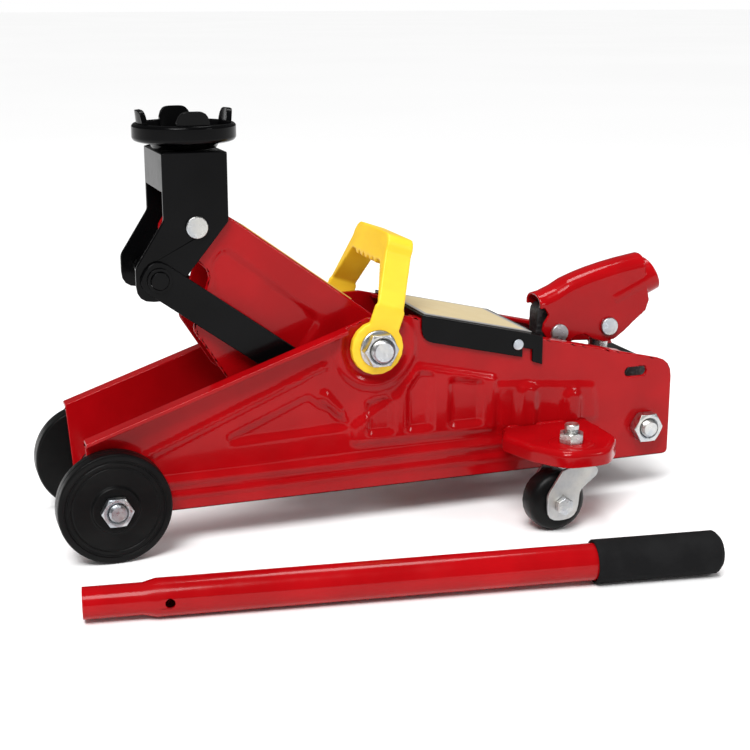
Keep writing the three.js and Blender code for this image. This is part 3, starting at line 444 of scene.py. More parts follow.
RED = Enamel("red_enamel", "red_paint", (0.37, 0.0020, 0.0042), (0.30, 0.0014, 0.0030), gloss=0.16, shine=0.12)
BLACK = Enamel(
    "black_enamel", "black_paint", (0.0026, 0.0026, 0.0029), (0.0016, 0.0016, 0.0018), 0.17,
    gloss=0.04, shine=0.08,
)
CAST = Casting("rough_casting", "cast_black", (0.016, 0.016, 0.017))
ZINC = Plating("zinc_plate", "zinc", (0.64, 0.63, 0.60), (0.48, 0.51, 0.55), 0.26)
PRESSED = Plating("zinc_sheet", "zinc", (0.62, 0.61, 0.58), (0.50, 0.51, 0.52), 0.36)
STEEL = Plating("ground_steel", "steel", (0.62, 0.61, 0.60), (0.50, 0.52, 0.55), 0.2, (0.2, 3.0, 3.0))
WHEEL = Moulding(
    "wheel_plastic", "wheel_black", (0.0028, 0.0028, 0.0030), (0.0050, 0.0050, 0.0050), 0.30, shine=0.12,
)
RUBBER = Moulding("soft_rubber", "plug_rubber", (0.008, 0.008, 0.008), (0.014, 0.014, 0.013), 0.55, shine=0.2)
YELLOW = Moulding(
    "yellow_moulding", "yellow_plastic", (0.90, 0.60, 0.030), (0.85, 0.54, 0.022), 0.36, shine=0.3,
)
FOAM = Foam("soft_foam", "grip_foam", (0.0065, 0.0065, 0.0070))
COVER_FILM = Film("cover_film", "label_cream", (0.72, 0.58, 0.32), (0.36, 0.35, 0.34), "cover_label", 0.0035)
ARM_FILM = Film("arm_film", "label_cream", (0.88, 0.66, 0.22), (0.80, 0.52, 0.10), "arm_label", 0.0025)


# ------------------------------------------------------------------ modelling
class Bench:
    """Modelling with Blender's own operators, one piece at a time."""

    @staticmethod
    def only(*pieces: bpy.types.Object) -> bpy.types.Object:
        """Select these pieces and nothing else; the first is the active one.

        Args:
            pieces: The pieces.

        Returns:
            The first piece.
        """
        if bpy.context.object and bpy.context.object.mode != "OBJECT":
            bpy.ops.object.mode_set(mode="OBJECT")
        bpy.ops.object.select_all(action="DESELECT")
        for piece in pieces:
            piece.select_set(True)
        bpy.context.view_layer.objects.active = pieces[0]
        return pieces[0]

    @staticmethod
    @contextmanager
    def editing(piece: bpy.types.Object) -> Iterator[None]:
        """Edit a piece's whole mesh, and go back to object mode afterwards.

        Args:
            piece: The piece to edit.

        Yields:
            Nothing, with the mesh in edit mode.
        """
        Bench.only(piece)
        bpy.ops.object.mode_set(mode="EDIT")
        bpy.ops.mesh.select_all(action="SELECT")
        yield
        bpy.ops.object.mode_set(mode="OBJECT")

    @staticmethod
    def clear() -> None:
        """Select nothing."""
        bpy.ops.object.select_all(action="DESELECT")

    @staticmethod
    def named(name: str) -> bpy.types.Object:
        """Name the piece that was just added, and its mesh.

        Args:
            name: The name.

        Returns:
            The piece.
        """
        piece = bpy.context.object
        piece.name = name
        piece.data.name = name
        return piece

    @staticmethod
    def settle(piece: bpy.types.Object) -> bpy.types.Object:
        """Move a piece's place, turn and size into its mesh.

        Args:
            piece: The piece.

        Returns:
            The piece.
        """
        Bench.only(piece)
        bpy.ops.object.transform_apply(location=True, rotation=True, scale=True)
        return piece

    @staticmethod
    def modify(piece: bpy.types.Object, kind: str, **settings: object) -> bpy.types.Object:
        """Add a modifier with its settings, and apply it.

        Args:
            piece: The piece to change.
            kind: The modifier's type.
            settings: The modifier's settings.

        Returns:
            The piece.
        """
        Bench.only(piece)
        bpy.ops.object.modifier_add(type=kind)
        modifier = piece.modifiers[-1]
        for key, value in settings.items():
            setattr(modifier, key, value)
        bpy.ops.object.modifier_apply(modifier=modifier.name)
        return piece

    @staticmethod
    def smooth(piece: bpy.types.Object, angle: float = 38.0) -> bpy.types.Object:
        """Shade smooth across edges flatter than angle, with flat faces kept flat.

        Args:
            piece: The piece.
            angle: Edges sharper than this many degrees stay sharp.

        Returns:
            The piece.
        """
        Bench.only(piece)
        bpy.ops.object.shade_smooth_by_angle(angle=math.radians(angle))
        Bench.modify(piece, "WEIGHTED_NORMAL", keep_sharp=True, weight=60)
        return piece

    @staticmethod
    def of_node(node: str, name: str | None = None) -> bpy.types.Object:
        """A merged copy of a CAD node's mesh, its flat faces whole.

        Args:
            node: The CAD node.
            name: What to call the copy.

        Returns:
            The copy.
        """
        Bench.clear()
        piece = bpy.data.objects.new(name or f"{node}_shell", frame["nodes"][node].data.copy())
        bpy.context.scene.collection.objects.link(piece)
        piece.data.materials.clear()
        with Bench.editing(piece):
            bpy.ops.mesh.remove_doubles(threshold=0.00002)
            bpy.ops.mesh.dissolve_limited(angle_limit=math.radians(1.2))
        return piece

    @staticmethod
    def bevel(
        piece: bpy.types.Object, width: float, segments: int, angle: float, clamp: bool = True,
    ) -> bpy.types.Object:
        """Bevel the edges sharper than angle degrees; clamp stops bevels from crossing.

        Args:
            piece: The piece.
            width: How far the bevel reaches, in metres.
            segments: How many faces each bevel has.
            angle: Edges flatter than this many degrees are left.
            clamp: Whether bevels are kept from crossing.

        Returns:
            The piece.
        """
        return Bench.modify(
            piece, "BEVEL", width=width, segments=segments, limit_method="ANGLE",
            angle_limit=math.radians(angle), use_clamp_overlap=clamp,
        )

    @staticmethod
    def soften(
        piece: bpy.types.Object, width: float, segments: int = 2, angle: float = 34.0,
    ) -> bpy.types.Object:
        """Round a piece's edges.

        Args:
            piece: The piece.
            width: How far the rounding reaches from each edge, in metres.
            segments: How many faces each rounding has.
            angle: Edges flatter than this many degrees are left.

        Returns:
            The piece.
        """
        return Bench.smooth(Bench.bevel(piece, width, segments, angle, clamp=False))

    @staticmethod
    def join(name: str, *pieces: bpy.types.Object) -> bpy.types.Object:
        """Make several pieces one.

        Args:
            name: What to call the result.
            pieces: The pieces; the first keeps its place.

        Returns:
            The joined piece.
        """
        Bench.only(*pieces)
        if len(pieces) > 1:
            bpy.ops.object.join()
        return Bench.named(name)

    @staticmethod
    def turned(
        name: str, profile: Sequence[Point], axis: Axis, centre: Vector, steps: int = 64, flip: bool = False,
    ) -> bpy.types.Object:
        """Spin a closed outline into a solid.

        Args:
            name: The piece's name.
            profile: Its corners, as distance from the axis and place along it, in metres.
            axis: The way the axis points.
            centre: Where the profile's zero is.
            steps: How many faces go round it.
            flip: Whether the profile runs the other way along the axis.

        Returns:
            The piece.
        """
        Bench.clear()
        bpy.ops.mesh.primitive_circle_add(vertices=len(profile), radius=0.01)
        piece = Bench.named(name)
        way = -1.0 if flip else 1.0
        for vertex, (radius, along) in zip(piece.data.vertices, profile):
            if axis is Axis.Y:
                vertex.co = (radius, way * along, 0.0)
            else:
                vertex.co = (radius, 0.0, way * along)
        piece.location = (0.0, 0.0, 0.0)
        line = (0.0, 1.0, 0.0) if axis is Axis.Y else (0.0, 0.0, 1.0)
        with Bench.editing(piece):
            bpy.ops.mesh.spin(steps=steps, angle=2 * math.pi, center=(0.0, 0.0, 0.0), axis=line)
            bpy.ops.mesh.select_all(action="SELECT")
            bpy.ops.mesh.remove_doubles(threshold=0.000005)
            bpy.ops.mesh.dissolve_degenerate(threshold=0.000005)
            bpy.ops.mesh.select_all(action="SELECT")
            bpy.ops.mesh.normals_make_consistent(inside=False)
        piece.location = centre
        return Bench.settle(piece)

    @staticmethod
    def bar(name: str, start: Vector, end: Vector, radius: float, sides: int = 24) -> bpy.types.Object:
        """A round bar with rounded ends, from one point to another.

        Args:
            name: The bar's name.
            start: The middle of one end.
            end: The middle of the other end.
            radius: Its radius, in metres.
            sides: How many faces go round it.

        Returns:
            The bar.
        """
        Bench.clear()
        way = end - start
        bpy.ops.mesh.primitive_cylinder_add(
            vertices=sides, radius=radius, depth=way.length, location=(start + end) / 2,
            rotation=way.to_track_quat("Z", "Y").to_euler(),
        )
        piece = Bench.settle(Bench.named(name))
        return Bench.soften(piece, radius * 0.3, 3)

    @staticmethod
    def block(name: str, centre: Vector, size: Vector) -> bpy.types.Object:
        """A plain block, for shaping further.

        Args:
            name: The block's name.
            centre: Its middle.
            size: Its three sides, in metres.

        Returns:
            The block.
        """
        Bench.clear()
        bpy.ops.mesh.primitive_cube_add(size=1.0, location=centre)
        piece = Bench.named(name)
        piece.scale = size
        return Bench.settle(piece)

    @staticmethod
    def lofted(name: str, rows: Sequence[Sequence[Vector]]) -> bpy.types.Object:
        """Lay a sheet through rows of points, by shaping a flat grid.

        Args:
            name: The piece's name.
            rows: Rows of equally many points.

        Returns:
            The sheet.
        """
        Bench.clear()
        across, along = len(rows[0]), len(rows)
        bpy.ops.mesh.primitive_grid_add(x_subdivisions=across - 1, y_subdivisions=along - 1, size=0.01)
        piece = Bench.named(name)
        for vertex, spot in zip(piece.data.vertices, (spot for row in rows for spot in row)):
            vertex.co = spot
        return piece

    @staticmethod
    def outward(piece: bpy.types.Object) -> bpy.types.Object:
        """Merge doubles and turn every face outward.

        Args:
            piece: The piece.

        Returns:
            The piece.
        """
        with Bench.editing(piece):
            bpy.ops.mesh.remove_doubles(threshold=0.00001)
            bpy.ops.mesh.normals_make_consistent(inside=False)
        return piece

    @staticmethod
    def melted(piece: bpy.types.Object, voxel: float, rounds: int, keep: float = 0.45) -> bpy.types.Object:
        """Fuse joined solids into one skin with soft edges.

        Args:
            piece: The piece, of one or more closed solids.
            voxel: How fine the new skin is, in metres.
            rounds: How many times it is smoothed.
            keep: What share of its faces stay.

        Returns:
            The piece.
        """
        Bench.modify(piece, "REMESH", mode="VOXEL", voxel_size=voxel, use_smooth_shade=True)
        Bench.modify(piece, "SMOOTH", factor=0.5, iterations=rounds)
        Bench.modify(piece, "DECIMATE", ratio=keep)
        Bench.only(piece)
        bpy.ops.object.shade_smooth()
        return piece


def middle_of(node: str) -> Vector:
    """The middle of a CAD node's box."""
    low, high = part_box(node)
    return (low + high) / 2


def size_of(node: str) -> Vector:
    """The sides of a CAD node's box."""
    low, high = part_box(node)
    return high - low


def outer_plane(node: str, side: Side) -> float:
    """The y of the plane that holds most of a node's outward face.

    Args:
        node: The CAD node.
        side: The side that the face looks to.

    Returns:
        The plane's y.
    """
    areas: dict[float, float] = {}
    for polygon in frame["nodes"][node].data.polygons:
        if polygon.normal.y * side.value > 0.99:
            key = round(polygon.center.y, 5)
            areas[key] = areas.get(key, 0.0) + polygon.area
    return max(areas, key=areas.get)


def body_of(node: str) -> str:
    """The body that a CAD node rides on."""
    bodies = frame["record"]["behaviour"]["bodies"]
    return next(body for body, nodes in bodies.items() if node in nodes)


def fit(piece: bpy.types.Object, finish: Finish, *nodes: str) -> bpy.types.Object:
    """Finish a piece that stands for CAD nodes, and let it ride with them.

    Args:
        piece: The piece.
        finish: What it is finished with.
        nodes: The CAD nodes that it stands for, all on one body.

    Returns:
        The piece.
    """
    finish.coat(piece)
    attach(piece, body_of(nodes[0]))
    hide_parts(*nodes)
    LOG.info("%s stands for %s, %d faces", piece.name, ", ".join(nodes), len(piece.data.polygons))
    return piece


def rounded(
    node: str, finish: Finish, width: float, segments: int = 2, angle: float = 34.0,
) -> bpy.types.Object:
    """Stand a rounded copy in a CAD node's place.

    Args:
        node: The CAD node.
        finish: What the copy is finished with.
        width: How far the rounding reaches, in millimetres.
        segments: How many faces each rounding has.
        angle: Edges flatter than this many degrees are left.

    Returns:
        The copy.
    """
    return fit(Bench.soften(Bench.of_node(node), width * MM, segments, angle), finish, node)


# ------------------------------------------------------------------ pressed sheet
@dataclass(frozen=True)
class Press:
    """One shape pressed in or out of a sheet, drawn in x and z in millimetres."""

    corners: tuple[Point, ...]
    height: float
    wall: float = 3.5
    radius: float = 4.0

    def share(self, x: np.ndarray, z: np.ndarray) -> np.ndarray:
        """How far up the shape's wall each point is, from 0 to 1.

        Args:
            x: The points' x, in millimetres.
            z: The points' z, in millimetres.

        Returns:
            The share of each point.
        """
        distance = self._inside(x, z)
        t = np.clip(distance / self.wall, 0.0, 1.0)
        return t * t * (3 - 2 * t)

    def _inside(self, x: np.ndarray, z: np.ndarray) -> np.ndarray:
        """The distance in from the rounded outline, negative outside it.

        Args:
            x: The points' x, in millimetres.
            z: The points' z, in millimetres.

        Returns:
            The distance of each point, in millimetres.
        """
        points = self._shrunk()
        nearest = np.full(x.shape, 1e9)
        inside = np.zeros(x.shape, bool)
        for (ax, az), (bx, bz) in zip(points, points[1:] + points[:1]):
            ex, ez = bx - ax, bz - az
            along = np.clip(((x - ax) * ex + (z - az) * ez) / (ex * ex + ez * ez + 1e-12), 0.0, 1.0)
            nearest = np.minimum(nearest, np.hypot(x - ax - along * ex, z - az - along * ez))
            crosses = ((az > z) != (bz > z)) & (x < ex * (z - az) / (ez + (ez == 0) * 1e-9) + ax)
            inside ^= crosses
        return np.where(inside, nearest, -nearest) + self.radius

    def _shrunk(self) -> list[Point]:
        """The outline moved in by its corner radius.

        Returns:
            The corners of the smaller outline.
        """
        if len(self.corners) == 2:
            return list(self.corners)
        sides = list(zip(self.corners, self.corners[1:] + self.corners[:1]))
        turn = 1.0 if sum(ax * bz - bx * az for (ax, az), (bx, bz) in sides) > 0 else -1.0
        lines = []
        for (ax, az), (bx, bz) in sides:
            length = math.hypot(bx - ax, bz - az)
            nx, nz = -(bz - az) / length * turn, (bx - ax) / length * turn
            lines.append((nx, nz, nx * ax + nz * az + self.radius))
        moved = []
        for (a, b, c), (d, e, f) in zip(lines[-1:] + lines[:-1], lines):
            det = a * e - b * d
            moved.append(((c * e - b * f) / det, (a * f - c * d) / det))
        return moved


@dataclass(frozen=True)
class Hoop:
    """A raised ring round a hole."""

    centre: Point
    inner: float
    outer: float
    height: float
    wall: float = 3.0

    def share(self, x: np.ndarray, z: np.ndarray) -> np.ndarray:
        """How far up the ring's walls each point is, from 0 to 1.

        Args:
            x: The points' x, in millimetres.
            z: The points' z, in millimetres.

        Returns:
            The share of each point.
        """
        radius = np.hypot(x - self.centre[0], z - self.centre[1])
        distance = np.minimum(radius - self.inner, self.outer - radius)
        t = np.clip(distance / self.wall, 0.0, 1.0)
        return t * t * (3 - 2 * t)


@dataclass
class PressedSheet:
    """A CAD node whose outer face is cut into small cells and pressed into shape."""

    node: str
    side: Side
    face: float
    origin: Vector
    presses: Sequence[Press | Hoop]
    tilt: float = 0.0
    cell: float = 2.2
    rounding: float = 0.7

    def build(self) -> bpy.types.Object:
        """Cut the face, press it and round the outline.

        Returns:
            The pressed piece.
        """
        piece = Bench.of_node(self.node, f"{self.node}_pressed")
        self.stamp(piece)
        return Bench.soften(piece, self.rounding * MM, 2, 62.0)

    def stamp(self, piece: bpy.types.Object) -> None:
        """Cut and press this side of a piece.

        Args:
            piece: The piece to press.
        """
        self._show_face(piece)
        self._cut(piece)
        self._press(piece)

    def _on_face(self, piece: bpy.types.Object) -> Iterable[bpy.types.MeshPolygon]:
        """The faces that lie on the sheet's outer side.

        Args:
            piece: The piece to look through.

        Yields:
            Each face of the outer side.
        """
        for polygon in piece.data.polygons:
            flat = polygon.normal.y * self.side.value > 0.99
            if flat and abs(polygon.center.y - self.face) < 0.0002:
                yield polygon

    def _show_face(self, piece: bpy.types.Object) -> None:
        """Hide all but the outer side, so that cuts stay on it.

        Args:
            piece: The piece, left in edit mode.
        """
        Bench.only(piece)
        bpy.ops.object.mode_set(mode="EDIT")
        bpy.ops.mesh.select_mode(type="FACE")
        bpy.ops.mesh.select_all(action="DESELECT")
        bpy.ops.object.mode_set(mode="OBJECT")
        for polygon in self._on_face(piece):
            polygon.select = True
        bpy.ops.object.mode_set(mode="EDIT")
        bpy.ops.mesh.hide(unselected=True)

    def _cut(self, piece: bpy.types.Object) -> None:
        """Cut the outer side into cells.

        Args:
            piece: The piece, in edit mode with only its outer side shown.
        """
        places = [vertex.co for vertex in piece.data.vertices]
        low = Vector([min(p[i] for p in places) for i in range(3)])
        high = Vector([max(p[i] for p in places) for i in range(3)])
        reach = (high - low).length / 2
        middle = (low + high) / 2
        steps = int(reach / (self.cell * MM))
        turn = Matrix.Rotation(self.tilt, 3, "Y")
        for way in (turn @ Vector((1, 0, 0)), turn @ Vector((0, 0, 1))):
            for i in range(-steps, steps + 1):
                spot = middle + way * (i * self.cell * MM)
                if abs(way.z) > 0.95 and not low.z < spot.z < high.z:
                    continue
                bpy.ops.mesh.select_all(action="SELECT")
                bpy.ops.mesh.bisect(plane_co=spot, plane_no=way)
        bpy.ops.mesh.reveal(select=False)
        bpy.ops.object.mode_set(mode="OBJECT")

    def _press(self, piece: bpy.types.Object) -> None:
        """Move the outer side's points out or in by the shapes pressed in it.

        Args:
            piece: The piece, with its outer side in cells.
        """
        count = len(piece.data.vertices)
        flat = np.zeros(count * 3, np.float32)
        piece.data.vertices.foreach_get("co", flat)
        spots = flat.reshape(-1, 3)
        inner = {index for polygon in self._on_face(piece) for index in polygon.vertices}
        rim = {
            index for polygon in piece.data.polygons for index in polygon.vertices
            if abs(polygon.normal.y) < 0.9
        }
        chosen = np.array(sorted(inner - rim))
        x = (spots[chosen, 0] - self.origin.x) / MM
        z = (spots[chosen, 2] - self.origin.z) / MM
        across = x * math.cos(self.tilt) - z * math.sin(self.tilt)
        up = x * math.sin(self.tilt) + z * math.cos(self.tilt)
        rise = sum(press.height * press.share(across, up) for press in self.presses)
        spots[chosen, 1] += self.side.value * rise * MM
        piece.data.vertices.foreach_set("co", spots.ravel())
        piece.data.update()


# ------------------------------------------------------------------ sub-assemblies
@dataclass
class SideFrames:
    """The two pressed side plates, their ears and what is welded to them."""

    wall: float = 0.7
    ear_roll: float = 4.6 * MM
    ear_hem: float = 4.0 * MM
    ear_straight: float = 12.0 * MM
    ear_seat: float = 3.2 * MM
    ear_sheet: float = 2.6 * MM
    ear_hole: float = 12.0 * MM
    beads: int = 30
    presses: tuple[Press | Hoop, ...] = (
        Press(
            ((62.7, 67.1), (138.9, 99.3), (147.0, 92.0), (158.0, 88.0), (166.0, 78.0), (173.7, 71.3)),
            -2.3, 3.6, 4.0,
        ),
        Press(
            ((168.0, 58.0), (168.0, 74.0), (202.0, 94.8), (218.5, 114.5), (281.0, 100.3), (281.0, 58.0)),
            2.6, 3.4, 5.0,
        ),
        Press(((281.0, 58.0), (277.0, 96.0), (360.8, 88.5), (364.0, 58.0)), 1.4, 3.4, 5.0),
        Press(((180.4, 64.9), (180.4, 90.2), (200.7, 93.2), (200.7, 64.9)), -2.6, 2.6, 4.0),
        Press(((209.5, 64.8), (209.5, 97.0), (219.0, 109.5), (230.4, 107.5), (230.4, 64.8)), -2.6, 2.6, 4.0),
        Press(((242.3, 64.7), (242.3, 102.9), (268.6, 98.5), (268.6, 64.7)), -2.6, 2.6, 4.0),
        Press(((304.0, 84.0), (304.0, 58.0)), 2.8, 4.5, 9.5),
        Press(((340.5, 77.0), (340.5, 55.0)), 2.8, 4.5, 9.0),
        Press(((150.0, 97.0), (160.0, 84.5)), 2.6, 4.0, 4.6),
        Press(((20.0, 65.0), (150.0, 118.0)), 1.6, 2.6, 3.0),
        Press(((4.0, 46.0), (362.0, 50.0)), 2.2, 3.0, 3.8),
        Press(((20.0, 36.0), (352.0, 38.5)), 1.6, 2.6, 3.0),
        Hoop((187.0, 129.0), 22.5, 31.5, 2.2),
    )

    def build(self) -> None:
        """Press both plates and round both ears."""
        front = middle_of("front_axle")
        origin = Vector((front.x, 0.0, 0.0))
        for side in Side:
            node = f"side_plate_{side.label}"
            sheet = PressedSheet(node, side, outer_plane(node, side), origin, self.presses, rounding=self.wall)
            fit(sheet.build(), RED, node)
            fit(self._ear(side), RED, f"caster_ear_{side.label}")
            rounded(f"link_anchor_{side.label}", STEEL, 0.6)
            self._weld(side)

    def _ear(self, side: Side) -> bpy.types.Object:
        """A tongue of sheet with its rim turned down, and a pad under the caster's nut.

        Args:
            side: The side of the jack.

        Returns:
            The ear with its pad.
        """
        node = f"caster_ear_{side.label}"
        low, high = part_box(node)
        swivel = middle_of(f"caster_stud_{side.label}")
        ear = Bench.of_node(node, f"{node}_tongue")
        Bench.only(ear)
        bpy.ops.object.mode_set(mode="EDIT")
        bpy.ops.mesh.select_mode(type="VERT")
        bpy.ops.mesh.select_all(action="DESELECT")
        bpy.ops.object.mode_set(mode="OBJECT")
        for vertex in ear.data.vertices:
            off = vertex.co - swivel
            vertex.select = vertex.co.z < high.z - 0.0001 or math.hypot(off.x, off.y) < self.ear_hole
        bpy.ops.object.mode_set(mode="EDIT")
        bpy.ops.mesh.delete(type="VERT")
        bpy.ops.mesh.select_all(action="SELECT")
        bpy.ops.mesh.delete(type="ONLY_FACE")
        bpy.ops.mesh.select_all(action="SELECT")
        bpy.ops.mesh.subdivide(number_cuts=3)
        bpy.ops.mesh.select_all(action="DESELECT")
        bpy.ops.object.mode_set(mode="OBJECT")
        root = self._root(side)
        for vertex in ear.data.vertices:
            vertex.select = abs(vertex.co.y - root) > self.ear_straight
        bpy.ops.object.mode_set(mode="EDIT")
        bpy.ops.mesh.vertices_smooth(factor=0.5, repeat=24)
        bpy.ops.object.mode_set(mode="OBJECT")
        for vertex in ear.data.vertices:
            if abs(vertex.co.y - root) < 0.01 * MM:
                vertex.co.y -= side.value * self.ear_seat
        bpy.ops.object.mode_set(mode="EDIT")
        bpy.ops.mesh.select_all(action="SELECT")
        bpy.ops.mesh.remove_doubles(threshold=0.0006)
        bpy.ops.mesh.edge_face_add()
        drop = low.z - high.z - self.ear_hem
        bpy.ops.mesh.extrude_region_move(TRANSFORM_OT_translate={"value": (0.0, 0.0, drop)})
        bpy.ops.mesh.select_all(action="SELECT")
        bpy.ops.mesh.normals_make_consistent(inside=False)
        bpy.ops.object.mode_set(mode="OBJECT")
        Bench.bevel(ear, self.ear_roll, 7, 60.0, clamp=False)
        Bench.only(ear)
        bpy.ops.object.mode_set(mode="EDIT")
        bpy.ops.mesh.select_mode(type="FACE")
        bpy.ops.mesh.select_all(action="DESELECT")
        bpy.ops.object.mode_set(mode="OBJECT")
        for polygon in ear.data.polygons:
            polygon.select = polygon.center.z < low.z - self.ear_hem + self.ear_roll * 1.02
        bpy.ops.object.mode_set(mode="EDIT")
        bpy.ops.mesh.delete(type="FACE")
        bpy.ops.object.mode_set(mode="OBJECT")
        Bench.modify(ear, "SOLIDIFY", thickness=self.ear_sheet, offset=-1.0, use_even_offset=True)
        Bench.bevel(ear, 0.5 * MM, 2, 60.0)
        pad = [
            (0.0, -1.0 * MM), (17.0 * MM, -1.0 * MM), (16.0 * MM, 0.2 * MM), (13.5 * MM, 0.9 * MM),
            (0.0, 0.9 * MM),
        ]
        top = Vector((swivel.x, swivel.y, high.z))
        disc = Bench.turned(f"{node}_pad", pad, Axis.Z, top, 48)
        return Bench.smooth(Bench.join(f"{node}_tongue", ear, disc), 40.0)

    def _root(self, side: Side) -> float:
        """Where an ear meets its plate."""
        low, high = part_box(f"caster_ear_{side.label}")
        return high.y if side is Side.LEFT else low.y

    def _weld(self, side: Side) -> None:
        """Lay a weld bead along an ear's root.

        Args:
            side: The side of the jack.
        """
        low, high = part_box(f"caster_ear_{side.label}")
        y = high.y - 0.001 if side is Side.LEFT else low.y + 0.001
        rng = np.random.default_rng(7)
        beads = []
        for i in range(self.beads):
            x = low.x + 0.014 + (high.x - low.x - 0.022) * i / (self.beads - 1)
            Bench.clear()
            bpy.ops.mesh.primitive_uv_sphere_add(
                segments=12, ring_count=8, radius=0.0018 + 0.0003 * rng.random(),
                location=(x, y, high.z - 0.0006 + 0.0002 * rng.random()),
            )
            bead = Bench.named(f"bead_{i}")
            bead.scale = (1.35, 1.0, 0.75)
            beads.append(Bench.settle(bead))
        weld = Bench.join(f"ear_weld_{side.label}", *beads)
        Bench.smooth(weld)
        RED.coat(weld)
        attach(weld, "frame")


@dataclass
class Fasteners:
    """Nuts, threaded bars and pins."""

    pitch: float = 0.0015
    stud_cut: float = 0.0007

    def build(self) -> None:
        """Make every nut, bar and pin."""
        for side in Side:
            for base in ("front_wheel_nut", "main_nut", "tie_nut"):
                self._nut(f"{base}_{side.label}", Axis.Y, side)
            self._nut(f"caster_nut_{side.label}", Axis.Z, side)
        for node in ("front_axle", "main_shaft", "tie_rod"):
            self._bar(node)
        for side in Side:
            self._stud(side)

    def _nut(self, node: str, axis: Axis, side: Side) -> None:
        """A chamfered hexagon nut with a washer face.

        Args:
            node: The CAD node.
            axis: The way the nut points.
            side: The side of the jack.
        """
        size, centre = size_of(node), middle_of(node)
        height = size.y if axis is Axis.Y else size.z
        across = (size.x, size.z) if axis is Axis.Y else (size.x, size.y)
        flats, corners = min(across), max(across)
        Bench.clear()
        bpy.ops.mesh.primitive_cylinder_add(vertices=6, radius=corners / 2, depth=height)
        nut = Bench.named(f"{node}_hexagon")
        phase = math.pi / 2 if across[0] < across[1] else 0.0
        phase += math.pi / 2
        if axis is Axis.Y:
            nut.rotation_euler = (math.pi / 2, phase, 0.0)
        else:
            nut.rotation_euler = (0.0, 0.0, phase)
        nut.location = centre
        Bench.settle(nut)
        bore = self._bore(node, axis)
        rim = corners / 2
        fall = (corners - flats) / 2 * 0.62
        half = height / 2
        profile = [
            (bore, -half), (flats / 2 * 0.97, -half), (rim, -half + fall), (rim, half - fall),
            (flats / 2 * 0.97, half), (bore + 0.0012, half), (bore, half - 0.0012),
        ]
        flip = side is Side.LEFT and axis is Axis.Y
        blank = Bench.turned(f"{node}_blank", profile, axis, centre, 72, flip=flip)
        Bench.modify(nut, "BOOLEAN", operation="INTERSECT", object=blank, solver="EXACT")
        bpy.data.objects.remove(blank)
        Bench.soften(nut, 0.00035, 2, 28.0)
        if "main" in node:
            way = 1.0 if side is Side.LEFT else -1.0
            seat = centre + Vector((0.0, way * half, 0.0))
            rim = flats * 0.60
            collar = [(bore, 0.0), (rim, 0.0), (rim, 0.0009), (flats * 0.56, 0.0016), (bore, 0.0016)]
            washer = Bench.turned("washer", collar, axis, seat, 64, flip=side is Side.LEFT)
            nut = Bench.join(nut.name, nut, Bench.soften(washer, 0.0003, 2, 20.0))
        fit(nut, ZINC, node)

    def _bore(self, node: str, axis: Axis) -> float:
        """The radius of the hole in a nut.

        Args:
            node: The CAD node.
            axis: The way the nut points.

        Returns:
            The radius, in metres.
        """
        centre = middle_of(node)
        offsets = (vertex.co - centre for vertex in frame["nodes"][node].data.vertices)
        return min(math.hypot(off.x, off.z if axis is Axis.Y else off.y) for off in offsets)

    def _bar(self, node: str) -> None:
        """A bar whose ends are threaded and chamfered.

        Args:
            node: The CAD node.
        """
        size, centre = size_of(node), middle_of(node)
        long = size.y
        radius = size.x / 2
        thread = min(0.022, long * 0.2)
        half = long / 2
        profile: list[Point] = [(0.0, -half), (radius - 0.0012, -half)]
        turns = int(thread / self.pitch)
        cut = 0.0005
        ridge = []
        for i in range(turns):
            start = -half + 0.0012 + i * self.pitch
            ridge += [
                (radius - cut, start),
                (radius, start + self.pitch * 0.35),
                (radius, start + self.pitch * 0.6),
            ]
        profile += ridge
        profile += [(r, -a) for r, a in reversed(ridge)]
        profile += [(radius - 0.0012, half), (0.0, half)]
        bar = Bench.turned(f"{node}_threaded", profile, Axis.Y, centre, 40)
        Bench.smooth(bar, 30.0)
        fit(bar, ZINC, node)

    def _stud(self, side: Side) -> None:
        """A caster's stud, threaded above its ear.

        Args:
            side: The side of the jack.
        """
        node = f"caster_stud_{side.label}"
        nut_low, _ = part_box(f"caster_nut_{side.label}")
        radius = self._bore(f"caster_nut_{side.label}", Axis.Z) - 0.0002
        foot, top = nut_low.z - 0.001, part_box(node)[1].z
        ridges: list[Point] = []
        for i in range(int((top - foot - 0.0016) / self.pitch)):
            start = i * self.pitch
            ridges += [
                (radius - self.stud_cut, start),
                (radius, start + self.pitch * 0.45),
                (radius, start + self.pitch * 0.6),
            ]
        end = top - foot
        profile = [(0.0, 0.0), *ridges, (radius, end - 0.0006), (radius - 0.0005, end), (0.0, end)]
        centre = middle_of(node)
        centre.z = foot
        thread = Bench.smooth(Bench.turned(f"{node}_thread", profile, Axis.Z, centre, 40), 18.0)
        base = Bench.of_node(node)
        cut = (0.0, 0.0, foot + 0.0004)
        with Bench.editing(base):
            bpy.ops.mesh.bisect(plane_co=cut, plane_no=(0.0, 0.0, 1.0), use_fill=True, clear_outer=True)
        Bench.soften(base, 0.0004)
        fit(Bench.join(f"{node}_threaded", thread, base), ZINC, node)


